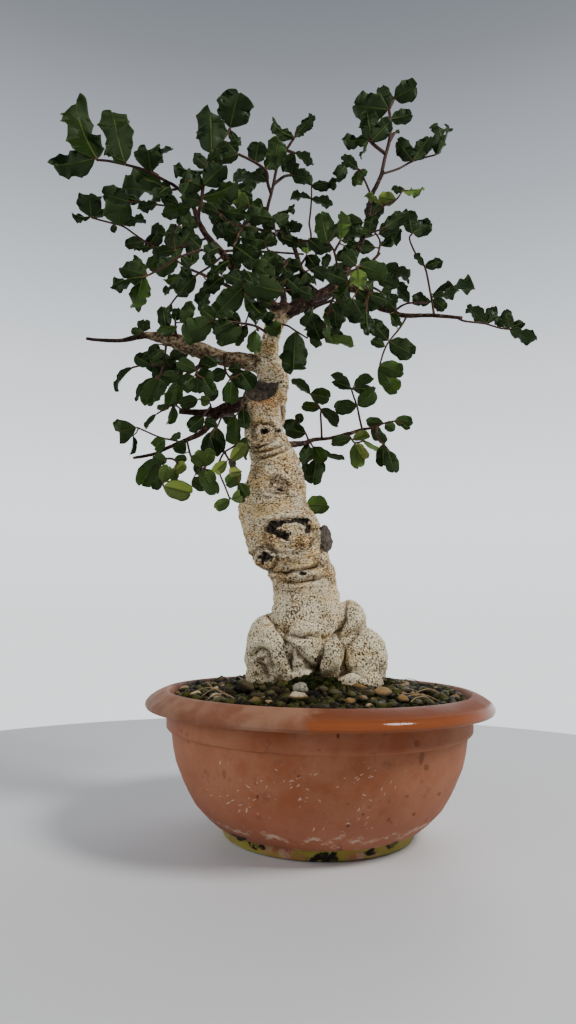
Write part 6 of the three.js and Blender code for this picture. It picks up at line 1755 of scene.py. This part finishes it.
def drawn_lines(co, x, z):
    """How deep the creases and folds are at a point that is seen at x, z, and how much painted shade darkens
    them.
    """
    depth = 0.0
    crease_shade = 0.0
    warp = 1.6 * noise.noise(co * 0.16) + 0.7 * noise.noise(co * 0.5)
    if z < 186:
        for line in CREASES:
            away, along = segment_gap(x + warp * 0.6, z + warp * 0.4, line)
            if away < 12:
                fade = fading(along, 0.1)
                depth += fade * 3.8 * bell(away, 1.9)
                depth -= fade * 1.3 * bell(away - 6, 3.2)
                crease_shade = max(crease_shade, fade * bell(away, 1.5))
    for line in FOLDS:
        away, along = segment_gap(x + warp, z + warp, line)
        if away < 8:
            fade = fading(along, 0.05)
            fade *= 0.8 + 0.5 * noise.noise(co * 0.09 + Vector((5, 5, 5)))
            depth += fade * 2.8 * bell(away, 1.5) - fade * 1.4 * bell(away - 3.2, 1.8)
            crease_shade = max(crease_shade, 1.4 * fade * bell(away, 1.2))
    return depth, crease_shade


def front_marks(co, x, z, front):
    """Depth, darkness and painted crease shade of all that is drawn on the front of the trunk, at one point.
    """
    depth, crease_shade = drawn_lines(co, x, z)
    depth *= front
    crease_shade *= front
    dark = 0.0
    ragged = 0.55 * noise.noise(co * 0.22) + 0.4 * noise.noise(co * 0.6 + Vector((2, 7, 1)))
    for kx, kz, half_x, half_z in RING_SCARS:
        away = math.hypot((x - kx) / half_x, (z - kz) / half_z)
        if away < 2.2:
            away += 0.22 * ragged
            wide = 1.8 / half_x
            groove = bell(away - 1, wide)
            depth += front * (1.4 * groove - 1.5 * bell(away - 1 - 2 * wide, 1.3 * wide))
            # Painted shade: the ring's groove is darkened.
            crease_shade = max(crease_shade, front * groove * (0.7 + ragged))
    for kx, kz, half_x, half_z, pit, shade in KNOTS:
        away = math.hypot((x - kx) / half_x, (z - kz) / half_z)
        if away < 2.6:
            away += ragged
            depth += front * pit * (1 - smooth_step(0.25, 1.0, away))
            depth -= front * min(1.3, 0.4 * pit) * bell(away - 1.3, 0.35)
            dark = max(dark, front * shade * (1 - smooth_step(0.55, 1.15, away)))
    return depth, dark, crease_shade


def shape_trunk(bm, marks):
    """Wrinkles, creases, knots and scars, cut where they are seen from the front, and a lived-in back."""
    bm.normal_update()
    moved = []
    for vert in bm.verts:
        co = vert.co
        x, z = as_seen(co)
        front = smooth_step(0.0, 0.35, -vert.normal.y)
        depth, dark, crease_shade = 0.0, 0.0, 0.0
        if front > 0 and z < 362:
            depth, dark, crease_shade = front_marks(co, x, z, front)
        old = smooth_step(418, 446, z)
        swirl = noise.noise(Vector((co.x * 0.03, co.y * 0.03, co.z * 0.16)))
        rings = abs(noise.noise(Vector((co.x * 0.05, co.y * 0.05, co.z * 0.3 + 7)))) ** 0.7
        back = 1 - 0.5 * front
        body = smooth_step(168, 190, co.z)
        rough = 0.75 * swirl * (1 + body) - 1.1 * body * rings * back
        rough += 0.6 * noise.noise(co * 0.14) + (0.36 + 0.4 * old) * noise.noise(co * 0.42)
        rough += 0.2 * noise.noise(co * 0.95)
        lobes = 1 - smooth_step(150, 176, co.z)
        rough += 1.6 * lobes * back * noise.noise(co * 0.06 + Vector((3, 1, 8)))
        crease_shade = max(crease_shade, 0.5 * body * back * (1 - smooth_step(0.02, 0.2, rings)) * (1 - old))
        moved.append((vert, vert.normal * (rough - depth)))
        low_limb = smooth_step(-58, -74, x) * smooth_step(330, 342, z) * smooth_step(372, 362, z)
        left_limb = smooth_step(-54, -68, x) * smooth_step(372, 380, z)
        # The third channel is painted shade in the creases, folds and grooves.
        vert[marks] = (dark, max(mix(0.02, 0.8, old), 0.8 * low_limb, 0.42 * left_limb), crease_shade, 1)
    for vert, shift in moved:
        vert.co += shift


def make_trunk(look):
    """The trunk: its core and swellings fused into one skin, then carved."""
    bm = bmesh.new()
    trunk_core(bm)
    done = bmesh.ops.bisect_plane(
        bm, geom=[*bm.verts, *bm.edges, *bm.faces], plane_co=STUB_CUT[0], plane_no=STUB_CUT[1],
        clear_outer=True,
    )["geom_cut"]
    bmesh.ops.contextual_create(bm, geom=[item for item in done if isinstance(item, bmesh.types.BMEdge)])
    root = [Vector((x, y, z)) for x, y, z, r in CROSSING_ROOT]
    line, widths = smooth_line(root, [r for x, y, z, r in CROSSING_ROOT], 5)
    add_strand(bm, line, widths, 24)
    for x, y, z, rx, ry, rz in LOBES:
        swell(bm, (x, y, z), (rx, ry, rz))
    spot, facing = Vector(KNOB_CUT[0]), Vector(KNOB_CUT[1]).normalized()
    knob = [spot - facing * 20, spot - facing * 6, spot - facing * 2.5, spot]
    add_strand(bm, knob, [9.6, 9, 11.4, 10.6], 28)
    for name, rows in spread_limbs():
        count = len(rows) if name == "live top" else sum(1 for row in rows if row[3] >= 3.6)
        if count < 2:
            continue
        kept = rows[:count]
        radii = [r * stretch_at(y) for x, z, y, r in kept]
        if name != "live top":
            radii = [r + 0.5 - 1.3 * i / (count - 1) for i, r in enumerate(radii)]
        line, widths = smooth_line([seen(x, z, y) for x, z, y, r in kept], radii, 4)
        add_strand(bm, line, widths, 16)
    trunk = finish_piece(bm, "trunk_body", [bark(look)], ("trunk",))
    remesh = trunk.modifiers.new("fuse", "REMESH")
    remesh.mode = "VOXEL"
    remesh.voxel_size = look.trunk_voxel * MM
    soften = trunk.modifiers.new("soften", "SMOOTH")
    soften.factor = 0.5
    soften.iterations = 3
    apply_modifiers(trunk)
    bm = bmesh.new()
    bm.from_mesh(trunk.data)
    scale_all(bm, PER_METRE)
    bm.normal_update()
    bare_cuts(bm)
    marks = color_layer(bm, "marks")
    shape_trunk(bm, marks)
    scale_all(bm, MM)
    smooth_faces(bm)
    bm.to_mesh(trunk.data)
    bm.free()
    trunk.data.materials.append(cut_wood())
    return trunk


def bare_cuts(bm):
    """Gives the two sawn faces their weathered end grain."""
    for spot, facing, reach in (STUB_CUT, KNOB_CUT):
        spot, facing = Vector(spot), Vector(facing).normalized()
        for face in bm.faces:
            away = face.calc_center_median() - spot
            if away.length < reach and abs(away.dot(facing)) < 2.6 and face.normal.dot(facing) > 0.5:
                face.material_index = 1


def make_limbs(look):
    """The limbs and branches, each with rough or budded bark."""
    parts = []
    for name, rows in spread_limbs():
        if name == "live top":
            continue
        radii = [r * stretch_at(y) for x, z, y, r in rows]
        if name == "left":
            radii = [r + 1.5 * bell(row[0] + 126, 20) for r, row in zip(radii, rows)]
        line, widths = smooth_line([seen(x, z, y) for x, z, y, r in rows], radii, 7)
        bm = bmesh.new()
        layer = color_layer(bm, "marks")
        rings = add_strand(bm, line, widths, 12 if max(radii) > 3 else 8)
        bm.normal_update()
        for ring, spot, width in zip(rings, line, widths):
            bud = max(0.0, noise.noise(spot * 0.12)) * 0.9
            for vert in ring:
                rough = 0.14 * width * noise.noise(vert.co * 0.45)
                rough += 0.07 * width * noise.noise(vert.co * 1.2)
                vert.co += vert.normal * (rough + bud * 0.12 * width)
                age = mix(1.0, 0.42 if name == "left" else 0.8, smooth_step(1.7, 4.4, width))
                # Grooves drawn by noise, not cut into the limb, get darker scar colour and painted crease
                # shade.
                groove = smooth_step(0.15, 0.5, noise.noise(vert.co * 0.5 + Vector((9, 0, 0))))
                vert[layer] = (0.35 * groove, age, 0.3 * groove, 1)
        parts.append(bm)
    return finish_piece(merge_parts(parts), "limbs_and_branches", [bark(look)], ("trunk",))


# Leafy sprays

def outline_smooth(s):
    """Half width of a real leaflet along its length: smooth, and closed round at both ends."""
    for i, ((s0, w0), (s1, w1)) in enumerate(zip(LEAF_OUTLINE, LEAF_OUTLINE[1:])):
        if s <= s1:
            break
    before = LEAF_OUTLINE[max(0, i - 1)]
    after = LEAF_OUTLINE[min(len(LEAF_OUTLINE) - 1, i + 2)]
    run = s1 - s0
    t = (s - s0) / run
    m0 = (w1 - before[1]) / (s1 - before[0]) * run
    m1 = (after[1] - w0) / (after[0] - s0) * run
    return (
        (2 * t ** 3 - 3 * t * t + 1) * w0 + (t ** 3 - 2 * t * t + t) * m0
        + (3 * t * t - 2 * t ** 3) * w1 + (t ** 3 - t * t) * m1
    )


def blade_point(leaflet, s, u):
    """A point of a real blade: s runs from its base to its tip, u from -1 to 1 across it."""
    edge = abs(u)
    side = (u > 0) - (u < 0)
    length = leaflet["length"]
    phase = leaflet["phase"]
    free = smooth_step(0.25, 0.55, s)
    large = smooth_step(26, 42, length)
    crown = smooth_step(365, 420, leaflet["base"].z)
    ripple = 1 + mix(0.045, 0.08, crown) * math.sin(15 * s + phase + side * free)
    cusp = 1 - 2 * abs(math.sin(4.2 * math.pi * s + phase + side))
    notch = mix(0.015 + 0.03 * crown, 0.11, large) * smooth_step(0.15, 0.45, s) * cusp
    scallop = 1 + notch * (1 - 0.6 * smooth_step(0.9, 1.0, s))
    half = leaflet["width"] / 2 * outline_smooth(s) * ripple * scallop
    tip = smooth_step(0.8, 1.0, s)
    back = tip * length * (0.05 - 0.05 * edge + 0.035 * (1 + side * leaflet["arch"]) * 0.7)
    full = leaflet["width"] / 2 * outline_smooth(min(s, 0.8))
    wave = mix(0.14, 0.42, crown) * full * math.sin(9.5 * s + phase + 1.9 * side) * edge ** 1.5 * free
    fine = mix(0.05, 0.2, crown) * full * math.sin(8.4 * math.pi * s + 2 * phase + 2 * side) * edge ** 2.5
    fine *= smooth_step(0.1, 0.4, s)
    curl = -0.12 * length * smooth_step(0.7, 1.0, s) * (0.4 + 0.6 * math.sin(phase))
    bow = leaflet["arch"] * 0.3 * length * s * (1 - s)
    cup = (0.26 + 0.16 * math.sin(3 * phase)) * half * edge ** 1.2
    lift = bow + cup + wave + fine + curl
    return (
        leaflet["base"] + leaflet["along"] * (length * s - back)
        + leaflet["across"] * (u * half) + leaflet["normal"] * lift
    )


def add_leaflet(bm, leaflet, thickness, chance):
    """One blade: a grid laid on the leaflet's surface and thickened, with its place on the blade kept."""
    length = leaflet["length"]
    rows = 24 if length > 34 else 17 if length > 20 else 13
    columns = 8 if length > 34 else 6
    tint = color_layer(bm, "tint")
    blade = color_layer(bm, "blade")
    made = bmesh.ops.create_grid(bm, x_segments=columns, y_segments=rows, size=1)["verts"]
    # Painted light: leaflets low down are made lighter and those high up darker.
    painted_light = mix(0.45, -0.25, smooth_step(330, 470, leaflet["base"].z))
    shade = min(1.0, (leaflet["shade"] + painted_light + 0.8 * (chance - 0.5)) / 4)
    for vert in made:
        u, s = vert.co.x, (vert.co.y + 1) / 2
        s = 0.5 - 0.5 * math.cos(math.pi * (0.06 + 0.94 * s) ** 0.9) if s > 0 else 0.0
        vert.co = blade_point(leaflet, s, u)
        vert[blade] = (u * 0.5 + 0.5, s, 0, 1)
        vert[tint] = (max(0.0, shade), chance, 0, 1)
    held = set(made)
    faces = [face for face in bm.faces if all(vert in held for vert in face.verts)]
    grown = bmesh.ops.solidify(bm, geom=faces, thickness=thickness)["geom"]
    bm.normal_update()
    for item in grown:
        if isinstance(item, bmesh.types.BMVert):
            value = item[blade]
            item[blade] = (value[0], value[1], 1, 1)


def add_stalk(bm, leaflet):
    """The short stalk from the twig to the blade, running on under the midrib."""
    root, base = leaflet["root"], leaflet["base"]
    thick = 0.45 + 0.012 * leaflet["length"]
    low = -leaflet["normal"] * 0.45
    bend = (root + base) / 2 + leaflet["normal"] * (0.06 * (base - root).length)
    rib = [blade_point(leaflet, s, 0) + low for s in (0.06, 0.3, 0.55, 0.8)]
    points = [root, bend, base + low, *rib]
    radii = [thick * k for k in (1.25, 0.95, 0.85, 0.62, 0.42, 0.3, 0.16)]
    kept = [i for i in range(len(points)) if i in (0, 6) or (points[i] - root).length > 0.8]
    add_strand(bm, [points[i] for i in kept], [radii[i] for i in kept], 5)


def spray_mesh(spray, look, rng):
    """A spray as small parts: its twigs, then a blade and a stalk for each leaflet."""
    parts = []
    for twig in spray["twigs"]:
        points = [seen(*at) for at in twig]
        radii = [spray["radius"] * (1.1 - 0.35 * i / len(points)) for i in range(len(points))]
        line, widths = smooth_line(points, radii, 4)
        bm = bmesh.new()
        add_strand(bm, line, widths, 8)
        bm.normal_update()
        layer = color_layer(bm, "tint")
        for vert in bm.verts:
            vert.co += vert.normal * 0.16 * noise.noise(vert.co * 0.8)
            vert[layer] = (0, 0.1, 0, 1)
        color_layer(bm, "blade")
        parts.append((bm, 1))
    for leaflet in spray["leaflets"]:
        chance = rng.random()
        bm = bmesh.new()
        add_leaflet(bm, leaflet, look.leaf_thickness * PER_METRE, chance)
        parts.append((bm, 0))
        stalk = bmesh.new()
        add_stalk(stalk, leaflet)
        layer = color_layer(stalk, "tint")
        color_layer(stalk, "blade")
        for vert in stalk.verts:
            along = (vert.co - leaflet["base"]).dot(leaflet["along"]) / leaflet["length"]
            vert[layer] = (smooth_step(-0.02, 0.12, along), 0.85, 0, 1)
        parts.append((stalk, 1))
    for bm, index in parts:
        for face in bm.faces:
            face.material_index = index
    return merge_parts([bm for bm, index in parts])


def make_sprays(look):
    rng = random.Random(SEED + 5)
    materials = [leaf_blade(look), young_twig(look)]
    made = []
    for spray in lay_sprays():
        bm = spray_mesh(spray, look, rng)
        name = spray["name"]
        made.append(finish_piece(bm, name + "_leaves", materials, (name,)))
    return made


# Stage

def make_floor(look):
    """A round floor, half a millimetre under the pot."""
    bm = bmesh.new()
    bmesh.ops.create_circle(bm, cap_ends=True, radius=look.floor_radius * PER_METRE, segments=128)
    scale_all(bm, MM)
    floor = add_object("studio_floor", written_mesh(bm, "studio_floor"))
    floor.location.z = -0.5 * MM
    floor.data.materials.append(pale_floor(look))


def make_lamps(look):
    for name, spot, aim, size, power, tone in LIGHTS:
        lamp = bpy.data.lights.new(name, "AREA")
        lamp.shape = "DISK"
        lamp.size = size
        lamp.energy = power * look.light_level
        lamp.color = tone
        light = add_object(name, lamp)
        light.location = spot
        light.rotation_euler = (Vector(aim) - Vector(spot)).to_track_quat("-Z", "Y").to_euler()


def make_room(look):
    """A soft room: bright low down, darker overhead, and darker still behind the viewer."""
    world = bpy.data.worlds.new("soft_room")
    world.use_nodes = True
    tree = world.node_tree
    back = tree.nodes["Background"]
    back.inputs["Strength"].default_value = look.room_level
    axes = tree.nodes.new("ShaderNodeSeparateXYZ")
    coords = tree.nodes.new("ShaderNodeTexCoord")
    height = tree.nodes.new("ShaderNodeValToRGB")
    behind = tree.nodes.new("ShaderNodeMapRange")
    both = tree.nodes.new("ShaderNodeMix")
    tree.links.new(coords.outputs["Generated"], axes.inputs[0])
    tree.links.new(axes.outputs[2], height.inputs[0])
    tree.links.new(axes.outputs[1], behind.inputs[0])
    behind.interpolation_type = "SMOOTHSTEP"
    for index, value in enumerate(ROOM_BEHIND, 1):
        behind.inputs[index].default_value = value
    both.data_type = "RGBA"
    both.blend_type = "MULTIPLY"
    both.inputs[0].default_value = 1
    tree.links.new(height.outputs[0], both.inputs[6])
    tree.links.new(behind.outputs[0], both.inputs[7])
    tree.links.new(both.outputs[2], back.inputs["Color"])
    stops = height.color_ramp.elements
    while len(stops) < len(ROOM_TONES):
        stops.new(0.5)
    for stop, (at, level) in zip(stops, ROOM_TONES):
        tones = (mix(0.93, 0.86, at), mix(0.98, 0.93, at), mix(1.0, 1.08, at))
        stop.position = at
        stop.color = (*(level * tone for tone in tones), 1)
    bpy.context.scene.world = world


def make_camera():
    """The photograph's view."""
    pitch, yaw, roll = (math.radians(angle) for angle in (CAMERA_PITCH, CAMERA_YAW, CAMERA_ROLL))
    flat = math.cos(pitch)
    forward = Vector((math.sin(yaw) * flat, math.cos(yaw) * flat, math.sin(pitch)))
    right = forward.cross(Vector((0, 0, 1))).normalized()
    up = right.cross(forward)
    turned_right = math.cos(roll) * right + math.sin(roll) * up
    turned_up = -math.sin(roll) * right + math.cos(roll) * up
    data = bpy.data.cameras.new("photo_camera")
    data.sensor_width = 36
    data.lens = data.sensor_width * CAMERA_FOCAL / CAMERA_FRAME
    data.clip_start = 0.01
    camera = add_object("photo_camera", data)
    turn = Matrix((turned_right, turned_up, -forward)).transposed().to_4x4()
    camera.matrix_world = Matrix.Translation(Vector(CAMERA_SPOT) * MM) @ turn
    bpy.context.scene.camera = camera


# Settings, operators and panel

def colour_setting(name, description, value):
    return FloatVectorProperty(
        name=name, description=description, subtype="COLOR", size=3, default=value,
    )


class PotSettings(bpy.types.PropertyGroup):
    pot_steps: IntProperty(
        name="Steps round the pot", description="Faces round the pot", default=176, min=24,
    )
    body_color: colour_setting("Body", "Terracotta of the pot's wall", (0.285, 0.088, 0.036))
    bloom_color: colour_setting("Bloom", "Hazy bloom on the wall", (0.375, 0.155, 0.082))
    wet_color: colour_setting("Wet rim", "Wet side of the rim", (0.235, 0.060, 0.020))


class SoilSettings(bpy.types.PropertyGroup):
    stone_count: IntProperty(
        name="Stones", description="Stones of grit on the soil", default=1900, min=0,
    )
    moss_count: IntProperty(
        name="Moss cushions", description="Small cushions of moss", default=1700, min=0,
    )
    moss_color: colour_setting("Moss", "Moss on soil and stones", (0.022, 0.027, 0.004))


class TreeSettings(bpy.types.PropertyGroup):
    trunk_voxel: FloatProperty(
        name="Trunk detail", description="Millimetres between points of bark", default=1.1,
    )
    cream_color: colour_setting("Cream bark", "Pale bark of the trunk", (0.97, 0.835, 0.56))
    tan_color: colour_setting("Tan bark", "Darker patches of the trunk", (0.57, 0.445, 0.28))


class LeafSettings(bpy.types.PropertyGroup):
    leaf_thickness: FloatProperty(
        name="Blade thickness", description="Thickness of a leaflet", default=0.00045, unit="LENGTH",
    )
    dark_leaf: colour_setting("Dark leaf", "Old leaflets", (0.0060, 0.0118, 0.0030))
    mid_leaf: colour_setting("Green leaf", "Leaflets in the light", (0.022, 0.040, 0.0065))
    rib_color: colour_setting("Midrib", "Midrib of a leaflet", (0.085, 0.125, 0.022))
    stalk_color: colour_setting("Stalk", "Stalks of the leaflets", (0.10, 0.030, 0.024))


class StageSettings(bpy.types.PropertyGroup):
    floor_radius: FloatProperty(
        name="Floor radius", description="Radius of the floor", default=0.62, unit="LENGTH",
    )
    floor_color: colour_setting("Floor", "Pale floor", (0.72, 0.72, 0.73))
    light_level: FloatProperty(name="Lights", description="Strength of the lamps", default=1.0)
    room_level: FloatProperty(name="Room", description="Strength of the room's own light", default=1.6)


class BONSAI_OT_pot(bpy.types.Operator):
    """Turns the pot and drills its drainage holes"""
    bl_idname = "bonsai.pot"
    bl_label = "Pot"

    def execute(self, context):
        make_pot(context.scene.bonsai_pot)
        return {"FINISHED"}


class BONSAI_OT_soil(bpy.types.Operator):
    """Fills the pot with soil, grit, pebbles, moss and surface roots"""
    bl_idname = "bonsai.soil"
    bl_label = "Soil, grit and moss"

    def execute(self, context):
        look = context.scene.bonsai_soil
        make_soil(look)
        make_grit(look)
        make_moss(look)
        make_surface_roots()
        return {"FINISHED"}


class BONSAI_OT_trunk(bpy.types.Operator):
    """Grows the trunk with its swollen foot, folds, knots and scars"""
    bl_idname = "bonsai.trunk"
    bl_label = "Trunk"

    def execute(self, context):
        make_trunk(context.scene.bonsai_tree)
        return {"FINISHED"}


class BONSAI_OT_limbs(bpy.types.Operator):
    """Grows the limbs and branches"""
    bl_idname = "bonsai.limbs"
    bl_label = "Limbs and branches"

    def execute(self, context):
        make_limbs(context.scene.bonsai_tree)
        return {"FINISHED"}


class BONSAI_OT_leaves(bpy.types.Operator):
    """Lays every spray of leaflets on its twigs"""
    bl_idname = "bonsai.leaves"
    bl_label = "Leafy sprays"

    def execute(self, context):
        made = make_sprays(context.scene.bonsai_leaf)
        if len(made) != len(SPRAYS) + len(BACK_SPRAYS):
            raise RuntimeError("a spray is missing")
        return {"FINISHED"}


class BONSAI_OT_stage(bpy.types.Operator):
    """Sets the floor, the lights and the camera"""
    bl_idname = "bonsai.stage"
    bl_label = "Floor, lights and camera"

    def execute(self, context):
        look = context.scene.bonsai_stage
        make_floor(look)
        make_lamps(look)
        make_room(look)
        make_camera()
        return {"FINISHED"}


class BONSAI_PT_panel(bpy.types.Panel):
    """Lists the pieces of the bonsai with their settings"""
    bl_idname = "BONSAI_PT_panel"
    bl_label = "Carob bonsai"
    bl_space_type = "VIEW_3D"
    bl_region_type = "UI"
    bl_category = "Carob bonsai"

    def draw(self, context):
        for group, operators in PANEL_ROWS:
            box = self.layout.box()
            settings = getattr(context.scene, group)
            for key in settings.__annotations__:
                box.prop(settings, key)
            for operator in operators:
                box.operator(operator)


PANEL_ROWS = (
    ("bonsai_pot", ("bonsai.pot",)),
    ("bonsai_soil", ("bonsai.soil",)),
    ("bonsai_tree", ("bonsai.trunk", "bonsai.limbs")),
    ("bonsai_leaf", ("bonsai.leaves",)),
    ("bonsai_stage", ("bonsai.stage",)),
)
GROUPS = {
    "bonsai_pot": PotSettings,
    "bonsai_soil": SoilSettings,
    "bonsai_tree": TreeSettings,
    "bonsai_leaf": LeafSettings,
    "bonsai_stage": StageSettings,
}
CLASSES = (
    *GROUPS.values(), BONSAI_OT_pot, BONSAI_OT_soil, BONSAI_OT_trunk, BONSAI_OT_limbs, BONSAI_OT_leaves,
    BONSAI_OT_stage, BONSAI_PT_panel,
)


def register():
    for item in CLASSES:
        bpy.utils.register_class(item)
    for name, group in GROUPS.items():
        setattr(bpy.types.Scene, name, PointerProperty(type=group))


def unregister():
    for name in GROUPS:
        delattr(bpy.types.Scene, name)
    for item in reversed(CLASSES):
        bpy.utils.unregister_class(item)


def main():
    register()
    bpy.ops.bonsai.stage()
    bpy.ops.bonsai.pot()
    bpy.ops.bonsai.soil()
    bpy.ops.bonsai.trunk()
    bpy.ops.bonsai.limbs()
    bpy.ops.bonsai.leaves()


if __name__ == "__main__":
    main()
